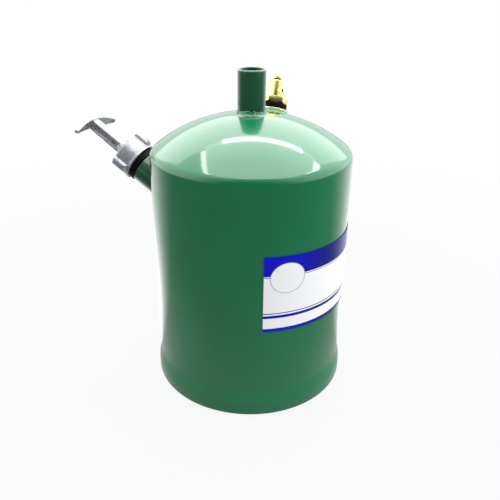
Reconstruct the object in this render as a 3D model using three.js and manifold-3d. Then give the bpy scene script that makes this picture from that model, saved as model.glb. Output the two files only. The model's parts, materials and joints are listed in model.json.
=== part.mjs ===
// A blow lamp's pressure tank: drawn steel shell, burner socket, filler cap and hand pump.
// Millimetres, +Z up. The origin is on the ground, at the middle of the box round the lamp.
// The pump leans out towards -X, and the filler cap is beside the burner socket, towards +Y.
import * as THREE from 'three';
import Module from 'manifold-3d';
import { mergeVertices } from 'three/addons/utils/BufferGeometryUtils.js';

const wasm = await Module();
wasm.setup();

// Fits and cuts
const seatGap = 0.3;
const cutOverrun = 2;

// Tank shell: straight side, rounded shoulder, shallow crown, and a proud seam at the foot
const tankRadius = 75;
const straightHeight = 182;
const shoulderRadius = 8;
const crownRadius = 117.5;
const sheetThickness = 1.2;
const seamProud = 2.2;
const seamHeight = 8;
const seamBlend = 16;
const seamCorner = 2.5;
const footLip = 1.5;

// Bottom pan: a dished plate whose flange stands inside the foot seam
const panThickness = 1.2;
const panFlange = 6;
const panKnuckle = 4;
const panRise = 11;

// Burner socket: a threaded steel tube on the crown
const socketRadius = 10.1;
const socketBore = 7.5;
const socketHeight = 30.6;
const socketInside = 6;
const socketRimChamfer = 0.8;

// Label: a foil sheet wrapped round the side, put on slightly askew
const labelHeight = 59;
const labelLength = 120;
const labelBase = 74.2;
const labelThickness = 0.25;
const labelDrop = 2;
const labelStart = THREE.MathUtils.degToRad(-60.8);

// Filler: place on the crown, bush, gasket and hexagonal cap
const fillerAzimuth = THREE.MathUtils.degToRad(88.5);
const fillerReach = 41.4;
const bushRadius = 11.2;
const bushBore = 8;
const bushProud = 2.6;
const bushInside = 8;
const fillerGasketRadius = 10.5;
const fillerGasketThickness = 4;
const capAcrossFlats = 18.6;
const capHexHeight = 4.8;
const capFlatTurn = THREE.MathUtils.degToRad(26);
const capBossRadius = 4.9;
const capBossHeight = 12.6;
const capBossChamfer = 0.8;
const capThreadLength = 12;
const capVentHeight = 5;
const ventRadius = 2.7;
const ventBore = 1.1;
const ventProud = 1.8;
const ventAzimuth = THREE.MathUtils.degToRad(-109);

// Bleed screw in the middle of the filler cap
const bleedShankRadius = 1.6;
const bleedShankLength = 15;
const bleedPointLength = 1.8;
const bleedHeadRadius = 2.9;
const bleedHeadHeight = 2;
const bleedSlotWidth = 0.8;
const bleedSlotDepth = 0.9;
const bleedSealThickness = 0.8;
const bleedPassage = 0.7;

// Pump: axis, sleeve in the tank's side, gasket and lugged cap
const pumpLean = THREE.MathUtils.degToRad(33.2);
const pumpFaceReach = 97.6;
const pumpFaceHeight = 164.4;
const sleeveRadius = 13.5;
const sleeveBore = 11;
const sleeveInside = 8;
const pumpGasketRadius = 14.2;
const pumpGasketThickness = 4.4;
const capRimRadius = 15.8;
const capRimThickness = 1.6;
const capBodyRadius = 15.4;
const capBodyLength = 15.7;
const capBodyChamfer = 1.2;
const capSpigotLength = 16;
const lugReach = 19;
const lugStart = 1.9;
const lugLength = 13.6;
const lugThickness = 7;
const lugHeel = 5.5;
const lugNose = 3;
const lugTurn = THREE.MathUtils.degToRad(76);
const lugs = 3;

// Barrel, plunger rod and plunger
const barrelBore = 8.1;
const barrelWall = 0.9;
const barrelLength = 127;
const rodRadius = 3;
const rodThreadRadius = 2.2;
const leatherRadius = 7.9;
const leatherThickness = 2;
const leatherSkirt = 6.5;
const leatherWall = 1.8;
const backWasherRadius = 7.2;
const frontWasherRadius = 5.7;
const washerThickness = 1.5;
const nutAcrossFlats = 9;
const nutHeight = 4.2;
const plungerEndGap = 0.8;

// Foot valve at the barrel's lower end
const valveGasketThickness = 1;
const valveSpigotLength = 7;
const valveBodyLength = 15;
const valveInletRadius = 2;
const valveChamberRadius = 5.6;
const valveChamberDepth = 12.4;
const valveDiscRadius = 4.6;
const valveDiscThickness = 2.4;
const springRadius = 3;
const springWire = 0.7;
const springTurns = 4.5;
const valveCapThreadLength = 2.4;
const valveCapFlange = 1.8;
const valveCapHoleRadius = 0.9;
const valveCapHoleCircle = 3;
const valveCapHoles = 4;

// Handle: round foot, tapered and fluted stem, thin crescent cross bar with knobbed tips
const handleTurn = THREE.MathUtils.degToRad(2.3);
const handleFootRadius = 7;
const handleFootThickness = 2;
const handleFlareHeight = 3.4;
const handleFlareRadius = 5;
const stemBaseWidth = 9.4;
const stemBaseDepth = 9.2;
const stemTopWidth = 8.6;
const stemTopDepth = 8.4;
const stemCorner = 1.6;
const stemLength = 35.2;
const fluteWidth = 4.8;
const fluteWeb = 5.8;
const fluteStart = 6.5;
const fluteLength = 26;
const handleBoreDepth = 15;
const pinHeight = 11;
const pinRadius = 1.2;
const barHalfSpan = 25.8;
const barDroop = 4.7;
const barThickness = 2.8;
const barTipThickness = 2;
const barHalfWidth = 5;
const barTipHalfWidth = 1.7;
const barHollowDepth = 1.2;
const barHollowWall = 1;
const barKnobRadius = 1.7;

// Numbers of facets
const tankSides = 60;
const pipeSides = 32;
const smallSides = 24;
const arcSteps = 5;
const curveSteps = 3;
const springSteps = 8;
const springSides = 5;

const enamel = new THREE.MeshStandardMaterial({ color: 0x246b49, roughness: 0.25, metalness: 0.0 });
const foil = new THREE.MeshStandardMaterial({ color: 0xf4f5f7, roughness: 0.4, metalness: 0.0 });
const brass = new THREE.MeshStandardMaterial({ color: 0xe0cf86, roughness: 0.3, metalness: 1.0 });
const castAlloy = new THREE.MeshStandardMaterial({ color: 0xc4c6cc, roughness: 0.35, metalness: 1.0 });
const steel = new THREE.MeshStandardMaterial({ color: 0xb4b6b9, roughness: 0.3, metalness: 1.0 });
const rubber = new THREE.MeshStandardMaterial({ color: 0x111214, roughness: 0.7, metalness: 0.0 });
const leather = new THREE.MeshStandardMaterial({ color: 0x7a5a38, roughness: 0.8, metalness: 0.0 });
const fibre = new THREE.MeshStandardMaterial({ color: 0x8c3b2c, roughness: 0.8, metalness: 0.0 });

// A solid that manifold can cut, from a closed geometry
function solid(geometry) {
  const bare = geometry.clone();
  bare.deleteAttribute('normal');
  bare.deleteAttribute('uv');
  const merged = mergeVertices(bare);
  const corners = merged.index.array;
  const kept = [];
  for (let i = 0; i < corners.length; i += 3) {
    const [a, b, c] = [corners[i], corners[i + 1], corners[i + 2]];
    if (a !== b && b !== c && c !== a) kept.push(a, b, c);
  }
  const vertProperties = new Float32Array(merged.attributes.position.array);
  const triVerts = new Uint32Array(kept);
  return new wasm.Manifold(new wasm.Mesh({ numProp: 3, vertProperties, triVerts }));
}

// The geometry of a manifold solid
function skin(body) {
  const mesh = body.getMesh();
  const geometry = new THREE.BufferGeometry();
  geometry.setAttribute('position', new THREE.BufferAttribute(mesh.vertProperties, 3));
  geometry.setIndex(new THREE.BufferAttribute(mesh.triVerts, 1));
  geometry.computeVertexNormals();
  return geometry;
}

function cut(body, ...tools) {
  return skin(tools.reduce((left, tool) => left.subtract(solid(tool)), solid(body)));
}

function join(body, ...others) {
  return skin(others.reduce((left, other) => left.add(solid(other)), solid(body)));
}

// A turned shape round Z, from [radius, height] points with the material on their left
function turned(points, sides) {
  const profile = points.map(([radius, height]) => new THREE.Vector2(radius, height));
  return new THREE.LatheGeometry(profile, sides).rotateX(Math.PI / 2);
}

function rod(radius, low, high, sides = pipeSides) {
  return turned([[0, low], [radius, low], [radius, high], [0, high]], sides);
}

function tube(inner, outer, low, high, sides = pipeSides) {
  return turned([[inner, low], [outer, low], [outer, high], [inner, high], [inner, low]], sides);
}

// Points of an arc in a profile, both ends included
function arc(centreRadius, centreHeight, radius, from, to, steps = arcSteps) {
  return Array.from({ length: steps + 1 }, (_, i) => {
    const angle = from + (to - from) * (i / steps);
    return [centreRadius + radius * Math.cos(angle), centreHeight + radius * Math.sin(angle)];
  });
}

// Points of an arc that ends on the axis
function dome(centreHeight, radius, from) {
  return [...arc(0, centreHeight, radius, from, Math.PI / 2).slice(0, -1), [0, centreHeight + radius]];
}

function hexagon(acrossFlats, turn) {
  const outline = new THREE.Shape();
  const cornerRadius = acrossFlats / 2 / Math.cos(Math.PI / 6);
  for (let side = 0; side < 6; side += 1) {
    const angle = turn + (side + 0.5) * (Math.PI / 3);
    const place = [cornerRadius * Math.cos(angle), cornerRadius * Math.sin(angle)];
    if (side === 0) outline.moveTo(...place);
    else outline.lineTo(...place);
  }
  return outline;
}

function extruded(outline, low, high, curveSegments = curveSteps) {
  const settings = { depth: high - low, bevelEnabled: false, curveSegments };
  return new THREE.ExtrudeGeometry(outline, settings).translate(0, 0, low);
}

function roundedRectangle(width, depth, corner) {
  const [x, y] = [width / 2, depth / 2];
  const outline = new THREE.Shape();
  outline.moveTo(x - corner, -y);
  outline.absarc(x - corner, corner - y, corner, -Math.PI / 2, 0);
  outline.absarc(x - corner, y - corner, corner, 0, Math.PI / 2);
  outline.absarc(corner - x, y - corner, corner, Math.PI / 2, Math.PI);
  outline.absarc(corner - x, corner - y, corner, Math.PI, 1.5 * Math.PI);
  return outline;
}

// A geometry drawn in a group's own frame, moved to the lamp's frame
function placed(geometry, group) {
  group.updateWorldMatrix(true, false);
  return geometry.applyMatrix4(group.matrixWorld);
}

function piece(name, geometry, material, group) {
  const mesh = new THREE.Mesh(geometry, material);
  mesh.name = name;
  group.add(mesh);
}

// Heights on the tank
const crownCentre = straightHeight
  - Math.sqrt((crownRadius - shoulderRadius) ** 2 - (tankRadius - shoulderRadius) ** 2);
const crownTop = crownCentre + crownRadius;
const shoulderEnd = Math.atan2(straightHeight - crownCentre, tankRadius - shoulderRadius);
const seamRadius = tankRadius + seamProud;

const lamp = new THREE.Group();

// Frame of the filler: origin on the crown's outer face, +Z along the crown's normal
const fillerTilt = Math.asin(fillerReach / crownRadius);
const fillerSide = new THREE.Group();
fillerSide.rotation.z = fillerAzimuth;
const filler = new THREE.Group();
filler.position.set(fillerReach, 0, crownCentre + crownRadius * Math.cos(fillerTilt));
filler.rotation.y = fillerTilt;
fillerSide.add(filler);
lamp.add(fillerSide);

// Frame of the pump: origin in the cap's sealing face, +Z outwards along the pump's axis
const pump = new THREE.Group();
pump.position.set(-pumpFaceReach, 0, pumpFaceHeight);
pump.rotation.y = pumpLean - Math.PI / 2;
lamp.add(pump);

// The shell's skin, one sheet thickness in from the outside where inset is the sheet's
function shellProfile(inset) {
  const wall = tankRadius - inset;
  const seamSteps = Array.from({ length: curveSteps + 1 }, (_, i) => {
    const rise = i / curveSteps;
    const share = (1 + Math.cos(Math.PI * rise)) / 2;
    return [wall + seamProud * share, seamHeight + seamBlend * rise];
  });
  const shoulder = arc(tankRadius - shoulderRadius, straightHeight, shoulderRadius - inset, 0, shoulderEnd);
  const crown = dome(crownCentre, crownRadius - inset, shoulderEnd);
  const corner = arc(seamRadius - seamCorner, seamCorner, seamCorner - inset, -Math.PI / 2, 0, curveSteps);
  const lip = [[seamRadius - seamCorner - footLip, inset]];
  return [...lip, ...corner, ...seamSteps, ...shoulder, ...crown.slice(1)];
}

function tankShell() {
  const inside = shellProfile(sheetThickness).reverse();
  const body = turned([...inside, ...shellProfile(0)], tankSides);
  const deep = sheetThickness + cutOverrun;
  const socketHole = rod(socketRadius + seatGap, crownTop - deep, crownTop + cutOverrun);
  const bushHole = rod(bushRadius + seatGap, -deep, cutOverrun);
  const sleeveHole = rod(sleeveRadius + seatGap, -sleeveEnd, 0);
  return cut(body, socketHole, placed(bushHole, filler), placed(sleeveHole, pump));
}

function tankBottom() {
  const outer = seamRadius - sheetThickness - seatGap;
  const floor = seamCorner;
  const bend = outer - panKnuckle;
  const high = floor + panFlange;
  const edge = bend - panKnuckle;
  const top = high + panKnuckle + panRise;
  const dishRadius = (edge ** 2 + panRise ** 2) / (2 * panRise);
  const dish = Math.asin(edge / dishRadius);
  const knuckle = (radius) => arc(bend, high, radius, 0, Math.PI / 2, curveSteps);
  const plate = (rise) => dome(top + rise - dishRadius, dishRadius, Math.PI / 2 - dish);
  const above = [[outer, floor], ...knuckle(panKnuckle), ...plate(0).slice(1)];
  const below = [[outer - panThickness, floor], ...knuckle(panKnuckle - panThickness), ...plate(-panThickness)];
  return turned([...below.reverse(), ...above], tankSides);
}

function burnerSocket() {
  const [low, high] = [crownTop - socketInside, crownTop + socketHeight];
  const lead = socketRimChamfer;
  return turned([
    [socketBore, low], [socketRadius, low], [socketRadius, high - lead], [socketRadius - lead, high],
    [socketBore + lead, high], [socketBore, high - lead], [socketBore, low],
  ], pipeSides);
}

function label() {
  const inner = tankRadius + seatGap;
  const outer = inner + labelThickness;
  const span = labelLength / outer;
  const outline = new THREE.Shape();
  outline.absarc(0, 0, outer, labelStart, labelStart + span);
  outline.absarc(0, 0, inner, labelStart + span, labelStart, true);
  const sheet = extruded(outline, labelBase, labelBase + labelHeight, tankSides / 3);
  const place = sheet.attributes.position;
  for (let i = 0; i < place.count; i += 1) {
    const angle = Math.atan2(place.getY(i), place.getX(i)) - labelStart;
    place.setZ(i, place.getZ(i) - labelDrop * (angle / span));
  }
  return sheet;
}

// Heights on the filler's axis
const gasketLow = bushProud + seatGap;
const hexLow = gasketLow + fillerGasketThickness + seatGap;
const bossLow = hexLow + capHexHeight;
const bossHigh = bossLow + capBossHeight;
const capThreadRadius = bushBore - seatGap;
const bleedBore = bleedShankRadius + seatGap;
const bleedHeadLow = bossHigh + seatGap + bleedSealThickness + seatGap;
const bleedPoint = bleedHeadLow - bleedShankLength - bleedPointLength;

function fillerCap() {
  const stem = turned([
    [0, hexLow - capThreadLength], [capThreadRadius, hexLow - capThreadLength],
    [capThreadRadius, bossLow - capHexHeight / 2], [capBossRadius, bossLow - capHexHeight / 2],
    [capBossRadius, bossHigh - capBossChamfer], [capBossRadius - capBossChamfer, bossHigh], [0, bossHigh],
  ], pipeSides);
  const hex = extruded(hexagon(capAcrossFlats, capFlatTurn), hexLow, bossLow);
  const ventPlace = (geometry) => geometry.rotateY(Math.PI / 2).rotateZ(ventAzimuth)
    .translate(0, 0, bossLow + capVentHeight);
  const ventEnd = capBossRadius + ventProud;
  const vent = ventPlace(rod(ventRadius, 0, ventEnd, smallSides));
  const bore = rod(bleedBore, bleedPoint - seatGap, bossHigh + cutOverrun, smallSides);
  const passage = rod(bleedPassage, hexLow - capThreadLength - cutOverrun, bossLow, smallSides);
  const ventHole = ventPlace(rod(ventBore, 0, ventEnd + cutOverrun, smallSides));
  return cut(join(stem, hex, vent), bore, passage, ventHole);
}

function bleedScrew() {
  const top = bleedHeadLow + bleedHeadHeight;
  const body = turned([
    [0, bleedPoint], [bleedShankRadius, bleedPoint + bleedPointLength], [bleedShankRadius, bleedHeadLow],
    [bleedHeadRadius, bleedHeadLow], [bleedHeadRadius, top], [0, top],
  ], smallSides);
  const slotLength = 2 * bleedHeadRadius + cutOverrun;
  const slot = new THREE.BoxGeometry(slotLength, bleedSlotWidth, 2 * bleedSlotDepth).translate(0, 0, top);
  return cut(body, slot);
}

// Heights on the pump's axis
const sleeveTop = -pumpGasketThickness - 2 * seatGap;
const sleeveEnd = (pumpFaceReach - tankRadius + sheetThickness + sleeveRadius * Math.sin(pumpLean))
  / Math.cos(pumpLean) + sleeveInside;
const spigotRadius = sleeveBore - seatGap;
const barrelRadius = barrelBore + barrelWall;
const barrelSeat = sleeveTop / 2;
const barrelTop = barrelSeat - seatGap;
const barrelEnd = barrelTop - barrelLength;
const valveTop = barrelEnd - valveGasketThickness - 2 * seatGap;
const valveEnd = valveTop - valveBodyLength;
const valveSeat = valveEnd + valveChamberDepth;
const discTop = valveSeat - seatGap;
const springTop = discTop - valveDiscThickness - seatGap;
const valveCapTop = valveEnd - seatGap + valveCapThreadLength;
const springEnd = valveCapTop + seatGap;
const springLength = springTop - springEnd;
const rodEnd = valveTop + valveSpigotLength + plungerEndGap;
const nutLow = rodEnd + plungerEndGap;
const frontWasherLow = nutLow + nutHeight + seatGap;
const leatherLow = frontWasherLow + washerThickness + seatGap;
const backWasherLow = leatherLow + leatherThickness + seatGap;
const rodShoulder = backWasherLow + washerThickness + seatGap;
const rodThreadBore = rodThreadRadius + seatGap;
const handleLow = capBodyLength + seatGap;
const rodTop = handleLow + handleBoreDepth - seatGap;

function pumpCap() {
  const chamfer = capBodyChamfer;
  const body = turned([
    [0, -capSpigotLength], [spigotRadius, -capSpigotLength], [spigotRadius, 0], [capRimRadius, 0],
    [capRimRadius, capRimThickness], [capBodyRadius, capRimThickness],
    [capBodyRadius, capBodyLength - chamfer], [capBodyRadius - chamfer, capBodyLength], [0, capBodyLength],
  ], pipeSides);
  const socket = rod(barrelRadius + seatGap, -capSpigotLength - cutOverrun, barrelSeat);
  const guide = rod(rodRadius + seatGap, barrelSeat - cutOverrun, capBodyLength + cutOverrun);
  const grips = Array.from({ length: lugs }, (_, i) => pumpLug(lugTurn + (2 * Math.PI * i) / lugs));
  return cut(join(body, ...grips), socket, guide);
}

// A lug for the fingers, rooted in the cap's body: rounded at its heel, its nose and its outer edge
function pumpLug(turn) {
  const [root, low, high] = [capBodyRadius / 2, lugStart, lugStart + lugLength];
  const side = new THREE.Shape();
  side.moveTo(root, low);
  side.lineTo(lugReach - lugHeel, low);
  side.absarc(lugReach - lugHeel, low + lugHeel, lugHeel, -Math.PI / 2, 0);
  side.absarc(lugReach - lugNose, high - lugNose, lugNose, 0, Math.PI / 2);
  side.lineTo(root, high);
  const half = lugThickness / 2;
  const plan = new THREE.Shape();
  plan.moveTo(root, -half);
  plan.absarc(lugReach - half, 0, half, -Math.PI / 2, Math.PI / 2);
  plan.lineTo(root, half);
  const flat = extruded(side, -half, half).rotateX(Math.PI / 2);
  const round = extruded(plan, low - cutOverrun, high + cutOverrun, arcSteps);
  return skin(solid(flat).intersect(solid(round))).rotateZ(turn);
}

function pumpRod() {
  return turned([
    [0, rodEnd], [rodThreadRadius, rodEnd], [rodThreadRadius, rodShoulder], [rodRadius, rodShoulder],
    [rodRadius, capBodyLength], [rodThreadRadius, capBodyLength], [rodThreadRadius, rodTop], [0, rodTop],
  ], smallSides);
}

function cupLeather() {
  const inner = leatherRadius - leatherWall;
  const [top, lip] = [leatherLow + leatherThickness, leatherLow - leatherSkirt];
  return turned([
    [rodThreadBore, leatherLow], [inner, leatherLow], [inner, lip], [leatherRadius, lip],
    [leatherRadius, top], [rodThreadBore, top], [rodThreadBore, leatherLow],
  ], pipeSides);
}

function hexNut() {
  const outline = hexagon(nutAcrossFlats, 0);
  outline.holes.push(new THREE.Path().absarc(0, 0, rodThreadBore, 0, 2 * Math.PI, true));
  return extruded(outline, nutLow, nutLow + nutHeight, smallSides / 2);
}

function valveBody() {
  const spigotTop = valveTop + valveSpigotLength;
  const spigot = barrelBore - seatGap;
  return turned([
    [valveInletRadius, spigotTop], [valveInletRadius, valveSeat], [valveChamberRadius, valveSeat],
    [valveChamberRadius, valveEnd], [barrelRadius, valveEnd], [barrelRadius, valveTop],
    [spigot, valveTop], [spigot, spigotTop], [valveInletRadius, spigotTop],
  ], pipeSides);
}

function valveCap() {
  const plug = valveChamberRadius - seatGap;
  const flangeTop = valveEnd - seatGap;
  const low = flangeTop - valveCapFlange;
  const body = turned([
    [0, low], [barrelRadius, low], [barrelRadius, flangeTop], [plug, flangeTop],
    [plug, valveCapTop], [0, valveCapTop],
  ], pipeSides);
  const holes = Array.from({ length: valveCapHoles }, (_, i) => {
    const angle = (2 * Math.PI * i) / valveCapHoles;
    const hole = rod(valveCapHoleRadius, low - cutOverrun, valveCapTop + cutOverrun, smallSides / 2);
    return hole.translate(valveCapHoleCircle * Math.cos(angle), valveCapHoleCircle * Math.sin(angle), 0);
  });
  return cut(body, ...holes);
}

class Helix extends THREE.Curve {
  getPoint(share, target = new THREE.Vector3()) {
    const angle = 2 * Math.PI * springTurns * share;
    const rise = springLength - springWire;
    const height = springEnd + springWire / 2 + rise * share;
    return target.set(springRadius * Math.cos(angle), springRadius * Math.sin(angle), height);
  }
}

function valveSpring() {
  const section = new THREE.Shape().absarc(0, 0, springWire / 2, 0, 2 * Math.PI);
  const steps = springSteps * springTurns;
  const settings = { steps, curveSegments: springSides, bevelEnabled: false, extrudePath: new Helix() };
  return new THREE.ExtrudeGeometry(section, settings);
}

// Heights on the handle, which stands on the pump cap
const stemLow = handleLow + handleFootThickness / 2;
const stemHigh = handleLow + stemLength;
const barCentre = stemHigh + barThickness / 4;

// The stem: a rounded rectangle that narrows towards the cross bar
function handleStem() {
  const outline = roundedRectangle(stemBaseWidth, stemBaseDepth, stemCorner);
  const stem = extruded(outline, stemLow, barCentre);
  const place = stem.attributes.position;
  for (let i = 0; i < place.count; i += 1) {
    const share = (place.getZ(i) - stemLow) / (barCentre - stemLow);
    place.setX(i, place.getX(i) * THREE.MathUtils.lerp(1, stemTopWidth / stemBaseWidth, share));
    place.setY(i, place.getY(i) * THREE.MathUtils.lerp(1, stemTopDepth / stemBaseDepth, share));
  }
  return stem;
}

// Height of the bar's middle line at a place along its span
function barLine(along) {
  return barCentre - barDroop * (along / barHalfSpan) ** 2;
}

// Half of the bar's thickness, or of its width, from the middle to a tip
function barTaper(middle, tip, along) {
  return THREE.MathUtils.lerp(middle, tip, (along / barHalfSpan) ** 2);
}

function barPlaces() {
  const steps = 2 * arcSteps;
  return Array.from({ length: 2 * steps + 1 }, (_, i) => barHalfSpan * (i / steps - 1));
}

// The bar's side view, from one tip to the other, thinner by inset and lower by sink
function crescent(halfSpan, sink) {
  const along = barPlaces().map((place) => place * (halfSpan / barHalfSpan));
  const half = (place) => barTaper(barThickness / 2, barTipThickness / 2, place);
  const upper = along.map((place) => [place, barLine(place) + half(place) - sink]);
  const lower = along.map((place) => [place, barLine(place) - half(place) - sink]);
  return new THREE.Shape([...lower, ...upper.reverse()].map(([y, z]) => new THREE.Vector2(y, z)));
}

// The bar's plan: a leaf with rounded ends
function leaf(halfSpan, inset) {
  const along = barPlaces().slice(1, -1).map((place) => place * (halfSpan / barHalfSpan));
  const half = (place) => {
    const side = barTaper(barHalfWidth, barTipHalfWidth, place) - inset;
    const left = (halfSpan - Math.abs(place)) / side;
    return left < 1 ? side * Math.sqrt(1 - (1 - left) ** 2) : side;
  };
  const edge = (sign) => along.map((place) => [place, sign * half(place)]);
  const outline = [[-halfSpan, 0], ...edge(-1), [halfSpan, 0], ...edge(1).reverse()];
  return new THREE.Shape(outline.map(([y, x]) => new THREE.Vector2(y, x)));
}

function barBody(halfSpan, inset, sink) {
  const sideways = new THREE.Matrix4().makeBasis(
    new THREE.Vector3(0, 1, 0), new THREE.Vector3(0, 0, 1), new THREE.Vector3(1, 0, 0));
  const side = extruded(crescent(halfSpan, sink), -barHalfWidth, barHalfWidth).applyMatrix4(sideways);
  const reach = barDroop + barThickness + barHollowDepth;
  const plan = extruded(leaf(halfSpan, inset), barCentre - reach, barCentre + reach).rotateZ(Math.PI / 2);
  return skin(solid(side).intersect(solid(plan)));
}

// A hollow under each arm, which leaves the middle solid for the stem
function barHollows() {
  const hollow = barBody(barHalfSpan - 2 * barHollowWall, barHollowWall, barThickness - barHollowDepth);
  const keep = new THREE.BoxGeometry(2 * barHalfWidth, stemTopDepth, 2 * barThickness)
    .translate(0, 0, barCentre - barThickness / 2);
  return cut(hollow, keep);
}

function pumpHandle() {
  const foot = turned([
    [0, handleLow], [handleFootRadius, handleLow], [handleFootRadius, handleLow + handleFootThickness],
    [handleFlareRadius, handleLow + handleFootThickness + handleFlareHeight],
    [0, handleLow + handleFootThickness + handleFlareHeight],
  ], pipeSides);
  const knobs = [-1, 1].map((side) => new THREE.SphereGeometry(barKnobRadius, smallSides / 2, arcSteps)
    .translate(0, side * barHalfSpan, barLine(barHalfSpan) + barTipThickness / 2));
  const bar = cut(barBody(barHalfSpan, 0, 0), barHollows());
  const body = join(foot, handleStem(), bar, ...knobs);
  const bore = rod(rodThreadBore, handleLow - cutOverrun, handleLow + handleBoreDepth, smallSides);
  const pinHole = rod(pinRadius + seatGap, -stemBaseDepth, stemBaseDepth, smallSides)
    .rotateX(Math.PI / 2).translate(0, 0, handleLow + pinHeight);
  return cut(body, bore, pinHole, flute(1), flute(-1)).rotateZ(handleTurn);
}

// The long round-ended recess in each side of the stem
function flute(side) {
  const radius = fluteWidth / 2;
  const [low, high] = [handleLow + fluteStart, handleLow + fluteStart + fluteLength];
  const outline = new THREE.Shape();
  outline.absarc(0, low + radius, radius, Math.PI, 2 * Math.PI);
  outline.absarc(0, high - radius, radius, 0, Math.PI);
  const slab = extruded(outline, 0, stemBaseDepth).rotateX(Math.PI / 2);
  return slab.translate(0, side > 0 ? fluteWeb / 2 + stemBaseDepth : -fluteWeb / 2, 0);
}

// The cross pin goes through the web and the rod, flush with the web's faces
function handlePin() {
  return rod(pinRadius, -fluteWeb / 2, fluteWeb / 2, smallSides / 2)
    .rotateX(Math.PI / 2).rotateZ(handleTurn).translate(0, 0, handleLow + pinHeight);
}

// The rod's cross hole for the pin
function drilledRod() {
  const hole = rod(pinRadius + seatGap, -rodRadius - cutOverrun, rodRadius + cutOverrun, smallSides / 2);
  return cut(pumpRod(), hole.rotateX(Math.PI / 2).rotateZ(handleTurn).translate(0, 0, handleLow + pinHeight));
}

piece('tank_shell', tankShell(), enamel, lamp);
piece('tank_bottom', tankBottom(), enamel, lamp);
piece('burner_socket', burnerSocket(), enamel, lamp);
piece('label', label(), foil, lamp);

const fillerGasket = tube(bushBore, fillerGasketRadius, gasketLow, gasketLow + fillerGasketThickness);
const sealLow = bossHigh + seatGap;
const bleedSeal = tube(bleedBore, bleedHeadRadius, sealLow, sealLow + bleedSealThickness, smallSides);
piece('filler_bush', tube(bushBore, bushRadius, -bushInside, bushProud), brass, filler);
piece('filler_gasket', fillerGasket, rubber, filler);
piece('filler_cap', fillerCap(), brass, filler);
piece('bleed_seal', bleedSeal, rubber, filler);
piece('bleed_screw', bleedScrew(), brass, filler);

const pumpGasket = tube(sleeveBore, pumpGasketRadius, sleeveTop + seatGap, -seatGap);
const valveGasketLow = valveTop + seatGap;
const valveGasket = tube(barrelBore, barrelRadius, valveGasketLow, valveGasketLow + valveGasketThickness);
piece('pump_sleeve', tube(sleeveBore, sleeveRadius, -sleeveEnd, sleeveTop), enamel, pump);
piece('pump_gasket', pumpGasket, rubber, pump);
piece('pump_cap', pumpCap(), castAlloy, pump);
piece('pump_barrel', tube(barrelBore, barrelRadius, barrelEnd, barrelTop), brass, pump);
piece('valve_gasket', valveGasket, fibre, pump);
piece('valve_body', valveBody(), brass, pump);
piece('valve_disc', rod(valveDiscRadius, discTop - valveDiscThickness, discTop), rubber, pump);
piece('valve_spring', valveSpring(), steel, pump);
piece('valve_cap', valveCap(), brass, pump);

const ringWasher = (radius, low) => tube(rodThreadBore, radius, low, low + washerThickness);
piece('back_washer', ringWasher(backWasherRadius, backWasherLow), steel, pump);
piece('cup_leather', cupLeather(), leather, pump);
piece('front_washer', ringWasher(frontWasherRadius, frontWasherLow), steel, pump);
piece('pump_rod', drilledRod(), steel, pump);
piece('rod_nut', hexNut(), steel, pump);
piece('pump_handle', pumpHandle(), castAlloy, pump);
piece('handle_pin', handlePin(), steel, pump);

// The origin goes to the middle of the lamp's box, on the ground
const box = new THREE.Box3().setFromObject(lamp, true);
const middle = box.getCenter(new THREE.Vector3());
lamp.position.set(-middle.x, -middle.y, -box.min.z);

export default lamp;
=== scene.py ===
"""Looks of a blow lamp's pressure tank, with its filler cap, hand pump and label.

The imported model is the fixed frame. Sizes are in millimetres, and places come from the frame.
"""

import json
import logging
import math
from abc import ABC, abstractmethod
from collections.abc import Callable, Iterator, Sequence
from contextlib import contextmanager
from dataclasses import dataclass, field
from enum import Enum

import bpy
from mathutils import Matrix, Vector, noise


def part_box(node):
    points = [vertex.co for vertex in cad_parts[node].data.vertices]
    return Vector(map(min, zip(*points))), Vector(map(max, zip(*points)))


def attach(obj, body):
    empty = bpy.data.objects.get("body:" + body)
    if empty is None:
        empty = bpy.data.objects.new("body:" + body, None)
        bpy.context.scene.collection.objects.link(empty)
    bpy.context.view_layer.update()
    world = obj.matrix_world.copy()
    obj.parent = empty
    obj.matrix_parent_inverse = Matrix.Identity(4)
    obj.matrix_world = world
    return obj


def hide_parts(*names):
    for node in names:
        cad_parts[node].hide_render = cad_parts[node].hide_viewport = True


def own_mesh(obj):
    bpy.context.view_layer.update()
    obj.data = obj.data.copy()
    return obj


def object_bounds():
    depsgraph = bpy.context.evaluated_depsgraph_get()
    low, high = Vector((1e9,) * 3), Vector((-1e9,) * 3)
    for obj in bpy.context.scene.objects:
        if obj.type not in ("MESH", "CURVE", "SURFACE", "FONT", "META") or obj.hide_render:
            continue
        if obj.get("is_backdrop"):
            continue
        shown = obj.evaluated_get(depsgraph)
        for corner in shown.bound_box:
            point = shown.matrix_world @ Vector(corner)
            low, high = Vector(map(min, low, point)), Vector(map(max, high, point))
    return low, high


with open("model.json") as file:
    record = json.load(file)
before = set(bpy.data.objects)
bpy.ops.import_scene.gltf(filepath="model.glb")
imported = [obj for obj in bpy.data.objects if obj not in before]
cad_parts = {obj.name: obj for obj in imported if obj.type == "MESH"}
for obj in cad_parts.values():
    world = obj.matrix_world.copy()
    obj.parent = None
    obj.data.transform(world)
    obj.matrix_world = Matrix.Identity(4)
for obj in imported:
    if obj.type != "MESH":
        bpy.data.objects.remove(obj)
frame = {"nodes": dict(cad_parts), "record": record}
cad_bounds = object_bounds()

log = logging.getLogger("blow_lamp_tank")

MM = 0.001
WELD_DISTANCE = 0.002 * MM
PHOTO_SIDE = 500
SENSOR_WIDTH = 36.0
CLIP_END = 20.0
ROUND_STEPS = 96
SMALL_ROUND_STEPS = 48
THREAD_STEPS = 40
EDGE_ANGLE = 32.0
MOULDED_EDGE_ANGLE = 60.0
NO_EDGE = 180.0

# Half widths of a thread's ridge, as shares of its pitch.
THREAD_HALF_FOOT = 0.46
THREAD_HALF_TOP = 0.10

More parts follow.
